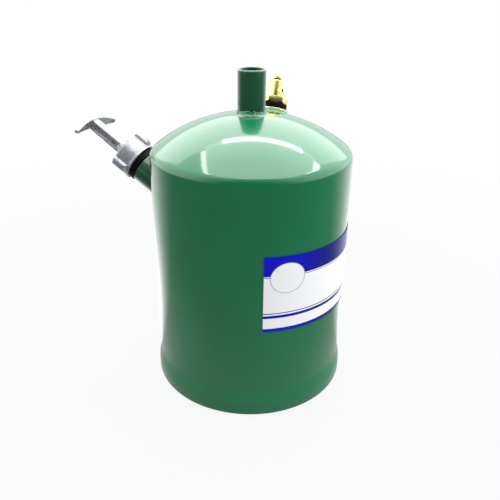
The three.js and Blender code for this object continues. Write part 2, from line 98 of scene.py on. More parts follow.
# How far a tool reaches past what it cuts or joins, and how near a face counts as on it.
OVERLAP = 1.0
NEAR = 0.1

Pair = tuple[float, float]
Outline = Sequence[Pair]
Setting = float | str | bool | tuple[float, ...]


class Slot(Enum):
    """The record's material slots."""

    ENAMEL = "enamel"
    FOIL = "foil"
    BRASS = "brass"
    CAST_ALLOY = "cast_alloy"
    STEEL = "steel"
    RUBBER = "rubber"
    LEATHER = "leather"
    FIBRE = "fibre"


class Cut(Enum):
    """How one solid acts on another."""

    REMOVE = "DIFFERENCE"
    ADD = "UNION"
    KEEP = "INTERSECT"


def linear(colour: str) -> tuple[float, float, float, float]:
    """Turn an sRGB hex colour into the linear colour that a shader takes.

    Args:
        colour: The colour as "#rrggbb".

    Returns:
        Linear red, green and blue, and an alpha of 1.
    """
    shares = [int(colour[i:i + 2], 16) / 255 for i in (1, 3, 5)]
    channels = [c / 12.92 if c <= 0.04045 else ((c + 0.055) / 1.055) ** 2.4 for c in shares]
    return (channels[0], channels[1], channels[2], 1.0)


def per_mm(size: float) -> float:
    """Texture scale that gives features of about this size in millimetres."""
    return 1 / (size * MM)


class Recipe:
    """A node tree that is being filled, with its shader and the object's own coordinates."""

    def __init__(self, name: str) -> None:
        """Start a material.

        Args:
            name: The material's name.
        """
        self.material = bpy.data.materials.new(name)
        self.material.use_nodes = True
        self.tree = self.material.node_tree
        self.shader = self.tree.nodes["Principled BSDF"]
        self.place = self.add("ShaderNodeTexCoord").outputs["Object"]

    @classmethod
    def of_world(cls, world: bpy.types.World) -> "Recipe":
        """Start a world's nodes, where the place is the direction of view."""
        recipe = cls.__new__(cls)
        recipe.tree = world.node_tree
        recipe.tree.nodes.clear()
        recipe.place = recipe.add("ShaderNodeTexCoord").outputs["Generated"]
        return recipe

    def add(self, kind: str, settings: dict[str | int, Setting] | None = None,
            links: dict[str | int, bpy.types.NodeSocket] | None = None) -> bpy.types.Node:
        """Add a node with its settings and links.

        Args:
            kind: The node's type.
            settings: Values for its inputs, or for its properties where it has no such input.
            links: Sockets that feed its inputs.

        Returns:
            The new node.
        """
        node = self.tree.nodes.new(kind)
        for name, value in (settings or {}).items():
            if isinstance(name, int) or name in node.inputs:
                node.inputs[name].default_value = value
            else:
                setattr(node, name, value)
        for name, source in (links or {}).items():
            self.tree.links.new(source, node.inputs[name])
        return node

    def mix(self, share: bpy.types.NodeSocket, first: str | bpy.types.NodeSocket,
            second: str | bpy.types.NodeSocket) -> bpy.types.NodeSocket:
        """Mix two colours, each a hex colour or a socket.

        Args:
            share: The second colour's share.
            first: The colour where the share is 0.
            second: The colour where the share is 1.

        Returns:
            The mixed colour.
        """
        node = self.add("ShaderNodeMix", {"data_type": "RGBA"})
        self.tree.links.new(share, node.inputs["Factor"])
        for slot, colour in ((6, first), (7, second)):
            if isinstance(colour, str):
                node.inputs[slot].default_value = linear(colour)
            else:
                self.tree.links.new(colour, node.inputs[slot])
        return node.outputs[2]

    def feed(self, name: str, source: bpy.types.NodeSocket) -> None:
        """Link a socket to one of the shader's inputs."""
        self.tree.links.new(source, self.shader.inputs[name])

    def set(self, **values: Setting) -> None:
        """Set inputs of the shader that are the same all over the surface.

        Args:
            values: The inputs' names, with _ for a space, and their values.
        """
        names = {socket.name.replace(" ", "_").lower(): socket for socket in self.shader.inputs}
        for name, value in values.items():
            names[name].default_value = value

    def noise(self, size: float, detail: float) -> bpy.types.NodeSocket:
        """Noise on the object, with features of about this size in millimetres."""
        return self.add("ShaderNodeTexNoise", {"Scale": per_mm(size), "Detail": detail},
                        {"Vector": self.place}).outputs["Fac"]

    def spread(self, value: bpy.types.NodeSocket, source: Pair,
               target: Pair = (0.0, 1.0)) -> bpy.types.NodeSocket:
        """Map a value from one range to another, and hold it inside that.

        Args:
            value: The value.
            source: Its own range.
            target: The results at both ends.

        Returns:
            The result.
        """
        return self.add("ShaderNodeMapRange", {
            "From Min": source[0], "From Max": source[1],
            "To Min": target[0], "To Max": target[1]}, {"Value": value}).outputs["Result"]

    def bump(self, height: bpy.types.NodeSocket, depth: float,
             under: bpy.types.NodeSocket | None = None) -> bpy.types.NodeSocket:
        """Tilt the surface as if it rose and fell with a height.

        Args:
            height: The height, from 0 to 1.
            depth: How much that is in millimetres.
            under: The normal that it adds to.

        Returns:
            The normal.
        """
        links = {"Height": height} if under is None else {"Height": height, "Normal": under}
        node = self.add("ShaderNodeBump", {"Strength": 1.0, "Distance": depth * MM}, links)
        return node.outputs["Normal"]

    def maths(self, operation: str, first: bpy.types.NodeSocket,
              second: float | bpy.types.NodeSocket) -> bpy.types.NodeSocket:
        """Work out one number from two.

        Args:
            operation: The kind of sum.
            first: The first number.
            second: The second, as a number or a socket.

        Returns:
            The result.
        """
        node = self.add("ShaderNodeMath", {"operation": operation}, {0: first})
        if isinstance(second, float):
            node.inputs[1].default_value = second
        else:
            self.tree.links.new(second, node.inputs[1])
        return node.outputs[0]

    def blend(self, share: bpy.types.NodeSocket, first: bpy.types.NodeSocket,
              second: bpy.types.NodeSocket) -> bpy.types.NodeSocket:
        """Mix two shaders, the second by its share."""
        return self.add("ShaderNodeMixShader", links={"Fac": share, 1: first, 2: second}).outputs[0]


class Finish(ABC):
    """A real material and how its surface was made."""

    name: str
    made: dict[str, bpy.types.Material] = {}

    @abstractmethod
    def compose(self, recipe: Recipe) -> None:
        """Fill in the material's nodes.

        Args:
            recipe: The material's node tree.
        """

    def material(self) -> bpy.types.Material:
        """Make the material once, and return it."""
        if self.name not in Finish.made:
            recipe = Recipe(self.name)
            self.compose(recipe)
            Finish.made[self.name] = recipe.material
        return Finish.made[self.name]


@dataclass(frozen=True)
class StovingEnamel(Finish):
    """Stoved green enamel on steel: thick, glossy, with a faint orange peel."""

    name: str = "stoving_enamel_green"
    colour: str = "#096a42"
    thin_colour: str = "#0b754a"
    dust_colour: str = "#4d7f68"
    cloud_size: float = 45.0
    nib_size: float = 1.4
    nib_range: Pair = (0.72, 0.80)
    dust_share: Pair = (0.0, 0.35)
    roughness: Pair = (0.28, 0.38)
    coat_roughness: float = 0.08
    wave_size: float = 28.0
    wave_depth: float = 0.05
    peel_size: float = 2.6
    peel_depth: float = 0.012

    def compose(self, recipe: Recipe) -> None:
        """Cloudy green under a gloss that the peel and the sheet's waves break up a little."""
        cloud = recipe.noise(self.cloud_size, 3.0)
        dust = recipe.spread(recipe.noise(self.nib_size, 2.0), self.nib_range, self.dust_share)
        green = recipe.mix(cloud, self.colour, self.thin_colour)
        recipe.feed("Base Color", recipe.mix(dust, green, self.dust_colour))
        recipe.feed("Roughness", recipe.spread(cloud, (0.0, 1.0), self.roughness))
        swell = recipe.bump(recipe.noise(self.wave_size, 1.0), self.wave_depth)
        skin = recipe.bump(recipe.noise(self.peel_size, 1.0), self.peel_depth, swell)
        recipe.feed("Normal", skin)
        recipe.feed("Coat Normal", skin)
        recipe.set(ior=1.5, specular_ior_level=0.1, coat_weight=1.0, coat_ior=1.5,
                   coat_roughness=self.coat_roughness)


@dataclass(frozen=True)
class TurnedBrass(Finish):
    """Bright free-cutting brass off the lathe: pale yellow, with fine tool marks and some tarnish."""

    name: str = "turned_brass"
    colour: str = "#eedf96"
    tarnish: str = "#b59b48"
    stain_size: float = 4.0
    stain_range: Pair = (0.48, 0.78)
    tarnish_share: Pair = (0.0, 0.7)
    roughness: Pair = (0.16, 0.36)
    mark_size: float = 0.35
    mark_depth: float = 0.006

    def compose(self, recipe: Recipe) -> None:
        """Tarnish in clouds, and tool marks as a fine grain that breaks the gloss into a sheen."""
        stain = recipe.noise(self.stain_size, 4.0)
        aged = recipe.spread(stain, self.stain_range, self.tarnish_share)
        recipe.feed("Base Color", recipe.mix(aged, self.colour, self.tarnish))
        recipe.feed("Roughness", recipe.spread(stain, (0.0, 1.0), self.roughness))
        recipe.feed("Normal", recipe.bump(recipe.noise(self.mark_size, 2.0), self.mark_depth))
        recipe.set(metallic=1.0)


@dataclass(frozen=True)
class DieCastAlloy(Finish):
    """Die-cast zinc alloy, tumbled bright: cool silver, softly dented, grey where it was handled."""

    name: str = "die_cast_zinc_alloy"
    colour: str = "#97999f"
    grime: str = "#5c5e66"
    dent_size: float = 3.5
    dent_depth: float = 0.03
    wear_range: Pair = (0.5, 0.75)
    grime_share: Pair = (0.0, 0.55)
    roughness: Pair = (0.25, 0.42)
    pit_size: float = 0.6
    pit_depth: float = 0.006

    def compose(self, recipe: Recipe) -> None:
        """Grime in clouds, with dents that bend the reflections and pits that grey them."""
        cloud = recipe.noise(self.dent_size, 5.0)
        worn = recipe.spread(cloud, self.wear_range, self.grime_share)
        recipe.feed("Base Color", recipe.mix(worn, self.colour, self.grime))
        recipe.feed("Roughness", recipe.spread(cloud, (0.0, 1.0), self.roughness))
        dents = recipe.bump(cloud, self.dent_depth)
        recipe.feed("Normal", recipe.bump(recipe.noise(self.pit_size, 2.0), self.pit_depth, dents))
        recipe.set(metallic=0.42)


@dataclass(frozen=True)
class PlatedSteel(Finish):
    """Zinc-plated turned steel: grey, bright, with a fine grain and dull patches of plating."""

    name: str = "zinc_plated_steel"
    colour: str = "#bfc1c6"
    dull: str = "#84868c"
    patch_size: float = 2.5
    roughness: Pair = (0.15, 0.32)
    grain_size: float = 0.25
    grain_depth: float = 0.005

    def compose(self, recipe: Recipe) -> None:
        """Dull patches in the plating and a fine grain."""
        patch = recipe.noise(self.patch_size, 4.0)
        recipe.feed("Base Color", recipe.mix(patch, self.colour, self.dull))
        recipe.feed("Roughness", recipe.spread(patch, (0.0, 1.0), self.roughness))
        recipe.feed("Normal", recipe.bump(recipe.noise(self.grain_size, 1.0), self.grain_depth))
        recipe.set(metallic=1.0)


@dataclass(frozen=True)
class NitrileRubber(Finish):
    """Moulded black nitrile rubber: satin, with a bloom of pale dust in its pores."""

    name: str = "nitrile_rubber_black"
    colour: str = "#050506"
    bloom: str = "#101012"
    pore_size: float = 0.8
    pore_depth: float = 0.02
    pore_range: Pair = (0.55, 0.85)
    bloom_share: Pair = (0.0, 0.6)

    def compose(self, recipe: Recipe) -> None:
        """A fine pored skin, paler where dust sits."""
        pore = recipe.noise(self.pore_size, 3.0)
        dusty = recipe.spread(pore, self.pore_range, self.bloom_share)
        recipe.feed("Base Color", recipe.mix(dusty, self.colour, self.bloom))
        recipe.feed("Normal", recipe.bump(pore, self.pore_depth))
        recipe.set(roughness=0.6, specular_ior_level=0.08)


@dataclass(frozen=True)
class OiledLeather(Finish):
    """Oiled cup leather: dark brown, with a fine wrinkled grain."""

    name: str = "oiled_cup_leather"
    colour: str = "#6b4a2b"
    crease: str = "#3c2614"
    grain_size: float = 0.7
    grain_depth: float = 0.06

    def compose(self, recipe: Recipe) -> None:
        """Creases between small cells of grain."""
        cell = recipe.add("ShaderNodeTexVoronoi", {"Scale": per_mm(self.grain_size)},
                          {"Vector": recipe.place}).outputs["Distance"]
        recipe.feed("Base Color", recipe.mix(cell, self.colour, self.crease))
        recipe.feed("Normal", recipe.bump(cell, self.grain_depth))
        recipe.set(roughness=0.6)


@dataclass(frozen=True)
class VulcanisedFibre(Finish):
    """Red vulcanised fibre: a hard sheet with faint threads pressed into it."""

    name: str = "vulcanised_fibre_red"
    colour: str = "#8c3b2c"
    thread: str = "#a4523f"
    thread_size: float = 0.5

    def compose(self, recipe: Recipe) -> None:
        """Threads a shade paler than the sheet."""
        recipe.feed("Base Color", recipe.mix(recipe.noise(self.thread_size, 3.0), self.colour, self.thread))
        recipe.set(roughness=0.5)


@dataclass(frozen=True)
class PrintedFilm(Finish):
    """Glossy self-adhesive film, printed white with blue bands and an empty white badge.

    The blue darkens from the sheet's left end to its right. This is painted shade where the tank's side
    turns away from the light.
    """

    length: float
    height: float
    name: str = "printed_label_film"
    white: str = "#fdfdff"
    blue: str = "#0404cc"
    shaded_blue: str = "#060f78"
    shade_span: Pair = (0.12, 0.45)
    navy: str = "#15155c"
    grey: str = "#a0a5ad"
    foot_band: float = 2.6
    second_band: Pair = (11.0, 13.2)
    thin_line: Pair = (14.5, 15.1)
    upper_line: Pair = (42.9, 43.5)
    header: float = 44.2
    badge_centre: Pair = (17.4, 42.2)
    badge_size: Pair = (26.2, 23.4)
    badge_rim_share: float = 0.965
    ripple_size: float = 22.0
    ripple_depth: float = 0.10

    def bands(self, blue: str) -> list[tuple[float, str]]:
        """Heights in millimetres where the print's colour changes, from the foot up."""
        return [
            (0.0, blue), (self.foot_band, self.white),
            (self.second_band[0], blue), (self.second_band[1], self.white),
            (self.thin_line[0], self.navy), (self.thin_line[1], self.white),
            (self.upper_line[0], self.navy), (self.upper_line[1], self.white),
            (self.header, blue),
        ]

    def printing(self, recipe: Recipe, height: bpy.types.NodeSocket, blue: str) -> bpy.types.NodeSocket:
        """Draw the bands in one shade of blue.

        Args:
            recipe: The node tree.
            height: The share of the sheet's height.
            blue: The shade, in hex.

        Returns:
            The colour.
        """
        ramp = recipe.add("ShaderNodeValToRGB", links={"Fac": height})
        ramp.color_ramp.interpolation = "CONSTANT"
        stops = ramp.color_ramp.elements
        stops.remove(stops[1])
        for index, (place, colour) in enumerate(self.bands(blue)):
            stop = stops[0] if index == 0 else stops.new(place / self.height)
            stop.color = linear(colour)
        return ramp.outputs["Color"]

    def compose(self, recipe: Recipe) -> None:
        """Bands by height on the sheet, and the badge as an ellipse over them."""
        sheet = recipe.add("ShaderNodeTexCoord").outputs["UV"]
        axes = recipe.add("ShaderNodeSeparateXYZ", links={"Vector": sheet}).outputs
        # Painted shade: the bands' blue is mixed towards a darker blue towards the sheet's right end.
        print_and_shade = recipe.mix(recipe.spread(axes["X"], self.shade_span),
                         self.printing(recipe, axes["Y"], self.blue),
                         self.printing(recipe, axes["Y"], self.shaded_blue))
        scale = (2 * self.length / self.badge_size[0], 2 * self.height / self.badge_size[1], 0.0)
        centre = (-self.badge_centre[0] / self.length * scale[0],
                  -self.badge_centre[1] / self.height * scale[1], 0.0)
        badge = recipe.add("ShaderNodeMapping", {"Location": centre, "Scale": scale}, {"Vector": sheet})
        reach = recipe.add("ShaderNodeVectorMath", {"operation": "LENGTH"},
                           {0: badge.outputs["Vector"]}).outputs["Value"]
        face = recipe.mix(recipe.maths("GREATER_THAN", reach, self.badge_rim_share), self.white, self.grey)
        recipe.feed("Base Color", recipe.mix(recipe.maths("LESS_THAN", reach, 1.0), print_and_shade, face))
        recipe.feed("Normal", recipe.bump(recipe.noise(self.ripple_size, 2.0), self.ripple_depth))
        recipe.set(roughness=0.28, ior=1.5, specular_ior_level=0.25)


ENAMEL = StovingEnamel()
# The brazed fittings get a deeper green than the sheet. This is painted shade for the shadow and dark
# reflections on the burner socket and the pump's sleeve.
SHADED_FITTING_ENAMEL = StovingEnamel("stoving_enamel_green_twice_dipped", colour="#044329", thin_colour="#065335")
BRASS = TurnedBrass()
CAST_ALLOY = DieCastAlloy()
STEEL = PlatedSteel()
RUBBER = NitrileRubber()
LEATHER = OiledLeather()
FIBRE = VulcanisedFibre()


def rest() -> None:
    """Leave edit mode and leave nothing selected, because an operator acts on all that is."""
    if bpy.context.object and bpy.context.object.mode != "OBJECT":
        bpy.ops.object.mode_set(mode="OBJECT")
    bpy.ops.object.select_all(action="DESELECT")


def take(piece: bpy.types.Object) -> None:
    """Make a piece the only selected one, and the active one."""
    rest()
    piece.select_set(True)
    bpy.context.view_layer.objects.active = piece


def named(name: str) -> bpy.types.Object:
    """Give the primitive that was just added its name, and return it."""
    piece = bpy.context.object
    piece.name = name
    piece.data.name = name
    return piece


@contextmanager
def editing(piece: bpy.types.Object) -> Iterator[None]:
    """Edit a piece with all of it selected."""
    take(piece)
    bpy.ops.object.mode_set(mode="EDIT")
    bpy.ops.mesh.select_all(action="SELECT")
    yield
    bpy.ops.object.mode_set(mode="OBJECT")


@contextmanager
def picking(piece: bpy.types.Object, kind: str, test: Callable[[Vector], bool]) -> Iterator[None]:
    """Edit a piece with the vertices or faces selected whose place passes a test.

    Args:
        piece: The piece to select on.
        kind: "VERT" or "FACE".
        test: Says of a place in metres whether it is wanted.
    """
    take(piece)
    bpy.ops.object.mode_set(mode="EDIT")
    bpy.ops.mesh.select_mode(type=kind)
    bpy.ops.mesh.select_all(action="DESELECT")
    bpy.ops.object.mode_set(mode="OBJECT")
    parts = piece.data.vertices if kind == "VERT" else piece.data.polygons
    for part in parts:
        part.select = test(part.co if kind == "VERT" else part.center)
    bpy.ops.object.mode_set(mode="EDIT")
    yield
    bpy.ops.object.mode_set(mode="OBJECT")


def apply_modifier(piece: bpy.types.Object, kind: str, **settings: object) -> None:
    """Finish a piece with a modifier, and apply it.

    Args:
        piece: The piece.
        kind: The modifier's type.
        settings: Its properties.
    """
    take(piece)
    modifier = piece.modifiers.new(kind.lower(), kind)
    for name, value in settings.items():
        setattr(modifier, name, value)
    bpy.ops.object.modifier_apply(modifier=modifier.name)


def combine(piece: bpy.types.Object, tool: bpy.types.Object, how: Cut) -> None:
    """Cut or join a piece with a tool, which is used up.

    Args:
        piece: The piece that is changed.
        tool: The solid that acts on it.
        how: Whether the tool is removed, added or kept.
    """
    apply_modifier(piece, "BOOLEAN", object=tool, operation=how.value, solver="EXACT")
    bpy.data.objects.remove(tool, do_unlink=True)


def mend(piece: bpy.types.Object) -> None:
    """Merge a piece's doubled vertices and turn its faces outwards."""
    with editing(piece):
        bpy.ops.mesh.remove_doubles(threshold=WELD_DISTANCE)
        bpy.ops.mesh.normals_make_consistent(inside=False)


def smooth(piece: bpy.types.Object, angle: float = EDGE_ANGLE) -> None:
    """Shade a piece smooth, with its edges above an angle in degrees kept sharp."""
    take(piece)
    bpy.ops.object.shade_smooth_by_angle(angle=math.radians(angle))


def polyline(name: str, outline: Outline) -> bpy.types.Object:
    """Draw an outline: one vertex, extruded from point to point.

    Args:
        name: The piece's name.
        outline: Radii and heights in millimetres.

    Returns:
        The line, in the XZ plane.
    """
    rest()
    bpy.ops.mesh.primitive_plane_add(size=MM)
    piece = named(name)
    with editing(piece):
        bpy.ops.mesh.merge(type="CENTER")
        bpy.ops.transform.translate(value=(outline[0][0] * MM, 0.0, outline[0][1] * MM))
        for (radius, height), (next_radius, next_height) in zip(outline, outline[1:]):
            step = ((next_radius - radius) * MM, 0.0, (next_height - height) * MM)
            bpy.ops.mesh.extrude_region_move(TRANSFORM_OT_translate={"value": step})
    return piece


def turned(name: str, outline: Outline, steps: int = ROUND_STEPS) -> bpy.types.Object:
    """Turn a solid: its outline is spun round Z.

    Args:
        name: The piece's name.
        outline: Radii and heights in millimetres, from axis to axis or back to the start.
        steps: Facets round the axis.

    Returns:
        The turned piece.
    """
    piece = polyline(name, outline)
    with editing(piece):
        bpy.ops.mesh.spin(steps=steps, angle=2 * math.pi, center=(0, 0, 0), axis=(0, 0, 1))
    mend(piece)
    return piece


def plug(radius: float, low: float, high: float) -> Outline:
    """Outline of a plain round bar."""
    return [(0, low), (radius, low), (radius, high), (0, high)]


def rod(name: str, radius: float, low: float, high: float, steps: int = 64) -> bpy.types.Object:
    """Make a plain round tool along Z, for cuts and joins."""
    return turned(name, plug(radius, low, high), steps)


def ring(name: str, radii: Pair, heights: Pair, corner: float, steps: int = ROUND_STEPS,
         angle: float = EDGE_ANGLE) -> bpy.types.Object:
    """Make a ring or tube round Z with rounded edges.

    Args:
        name: The piece's name.
        radii: Radii of its bore and its outside in millimetres.
        heights: Heights of its lower and upper faces.
        corner: Radius of its edges.
        steps: Facets round the axis.
        angle: The angle in degrees above which an edge stays sharp.

    Returns:
        The ring.
    """
    (bore, radius), (low, high) = radii, heights
    section = [(bore, low), (radius, low), (radius, high), (bore, high), (bore, low)]
    piece = turned(name, rounded(section, corner), steps)
    smooth(piece, angle)
    return piece


def block(name: str, centre: tuple[float, float, float],
          size: tuple[float, float, float]) -> bpy.types.Object:
    """Make a box.

    Args:
        name: The piece's name.
        centre: Its middle in millimetres.
        size: Its sides in millimetres.

    Returns:
        The box.
    """
    rest()
    bpy.ops.mesh.primitive_cube_add(size=MM)
    piece = named(name)
    piece.data.transform(Matrix.Translation([c * MM for c in centre]) @ Matrix.Diagonal((*size, 1.0)))
    return piece


def lattice(name: str, cuts: int) -> bpy.types.Object:
    """Make a cube from -1 to 1 whose edges have a number of cuts, to be bent to a shape."""
    rest()
    bpy.ops.mesh.primitive_cube_add(size=2.0)
    piece = named(name)
    with editing(piece):
        bpy.ops.mesh.subdivide(number_cuts=cuts)
    return piece


def climb(piece: bpy.types.Object, angle: float, rise: float, times: int, steps: int) -> None:
    """Sweep a closed section up round Z, and close both ends.

    Args:
        piece: The section, which becomes the coil.
        angle: How far one sweep turns, in radians.
        rise: How far it climbs, in metres.
        times: The number of sweeps.
        steps: Stretches in each.
    """
    apply_modifier(piece, "SCREW", angle=angle, screw_offset=rise, iterations=times, steps=steps,
                   render_steps=steps)
    with editing(piece):
        bpy.ops.mesh.fill_holes(sides=0)
    mend(piece)


def threaded(name: str, root: float, crest: float, pitch: float, low: float,
             high: float) -> bpy.types.Object:
    """Model a screw thread as one ridge, whose section climbs round Z.

    Args:
        name: The piece's name.
        root: Radius of the ridge's foot in millimetres.
        crest: Radius of its top, inside the root on a nut's thread.
        pitch: Rise of one turn.
        low: Height where it starts.
        high: Height where it ends.

    Returns:
        The ridge.
    """
    half_foot, half_top = THREAD_HALF_FOOT * pitch, THREAD_HALF_TOP * pitch
    start = low + half_foot
    piece = polyline(name, [
        (root, start - half_foot), (crest, start - half_top), (crest, start + half_top),
        (root, start + half_foot), (root, start - half_foot),
    ])
    mend(piece)
    climb(piece, 2 * math.pi, pitch * MM, int((high - low) / pitch) - 1, THREAD_STEPS)
    smooth(piece)
    return piece


def arc(centre: Pair, radius: float, start: float, end: float,
        steps: int) -> list[Pair]:
    """Points of an arc in an outline.

    Args:
        centre: Its centre's radius and height.
        radius: The arc's radius.
        start: Angle of the first point in degrees.
        end: Angle of the last point in degrees.
        steps: Number of stretches.

    Returns:
        The points, both ends included.
    """
    angles = [math.radians(start + (end - start) * i / steps) for i in range(steps + 1)]
    return [(centre[0] + radius * math.cos(a), centre[1] + radius * math.sin(a)) for a in angles]


def rounded(corners: Outline, radius: float, steps: int = 4) -> list[Pair]:
    """Round an outline's corners, apart from those on the axis and the two ends.

    Args:
        corners: The sharp outline.
        radius: Radius of the corners in millimetres.
        steps: Stretches in each corner.

    Returns:
        The outline with a short curve at each corner.
    """
    points = [Vector(corner) for corner in corners]
    closed = (points[0] - points[-1]).length < WELD_DISTANCE
    ring = points[:-1] if closed else points
    outline: list[Pair] = []
    for index, corner in enumerate(ring):
        if not closed and index in (0, len(ring) - 1):
            outline.append(tuple(corner))
            continue
        before, after = ring[index - 1] - corner, ring[(index + 1) % len(ring)] - corner
        reach = min(radius, before.length / 2, after.length / 2)
        first, last = corner + before.normalized() * reach, corner + after.normalized() * reach
        for i in range(steps + 1):
            share = i / steps
            bend = first.lerp(corner, share).lerp(corner.lerp(last, share), share)
            outline.append(tuple(bend))
    return outline + outline[:1] if closed else outline


def fit(piece: bpy.types.Object, place: Matrix, body: str, finish: Finish,
        nodes: Sequence[str] = ()) -> bpy.types.Object:
    """Put a finished piece in its place and say what it is.

    Args:
        piece: The piece, modelled in its sub-assembly's own frame.
        place: That frame.
        body: The body that it moves with.
        finish: What it is made of.
        nodes: The nodes that it stands for.

    Returns:
        The piece.
    """
    piece.data.transform(place)
    piece.data.materials.clear()
    piece.data.materials.append(finish.material())
    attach(piece, body)
    if nodes:
        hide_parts(*nodes)
    stands_for = f", for {', '.join(nodes)}" if nodes else ""
    log.info("%s on %s, %d faces%s", piece.name, body, len(piece.data.polygons), stands_for)
    return piece


def dress(finish: Finish, *nodes: str) -> None:
    """Give nodes that keep their own shape a finish.

    Args:
        finish: What they are made of.
        nodes: Their names.
    """
    for name in nodes:
        node = frame["nodes"][name]
        node.data.materials.clear()
        node.data.materials.append(finish.material())
        log.info("%s keeps its shape, in %s", name, finish.name)


def joint_place(name: str) -> Matrix:
    """Frame of a hinge: its origin, with Z along its axis and Y level.

    Args:
        name: The hinge's name.

    Returns:
        The frame in metres.
    """
    joint = next(j for j in frame["record"]["behaviour"]["joints"] if j["name"] == name)
    axis = Vector(joint["axis"]).normalized()
    level = Vector((0, 0, 1)).cross(axis).normalized()
    turn = Matrix((level.cross(axis), level, axis)).transposed().to_4x4()
    return Matrix.Translation(Vector(joint["pos_m"])) @ turn


@dataclass(frozen=True)
class Lamp:
    """A rectangular lamp, placed from the object's centre in metres, with Y away from the camera."""

    place: tuple[float, float, float]
    size: Pair
    radiance: float
    aimed: bool = False
    mirrored: bool = True

    def hang(self, name: str, room: Matrix) -> None:
        """Hang the lamp.

        Args:
            name: Its name.
            room: The room's frame, with its origin at the object's centre.
        """
        data = bpy.data.lights.new(name, "AREA")
        data.shape = "RECTANGLE"
        data.size, data.size_y = self.size
        data.energy = self.radiance * math.pi * self.size[0] * self.size[1]
        lamp = bpy.data.objects.new(name, data)
        lamp.matrix_world = room @ Matrix.Translation(self.place)
        if self.aimed:
            lamp.matrix_world @= (-Vector(self.place)).to_track_quat("-Z", "Y").to_matrix().to_4x4()
        lamp.visible_camera = False
        lamp.visible_glossy = self.mirrored
        bpy.context.collection.objects.link(lamp)


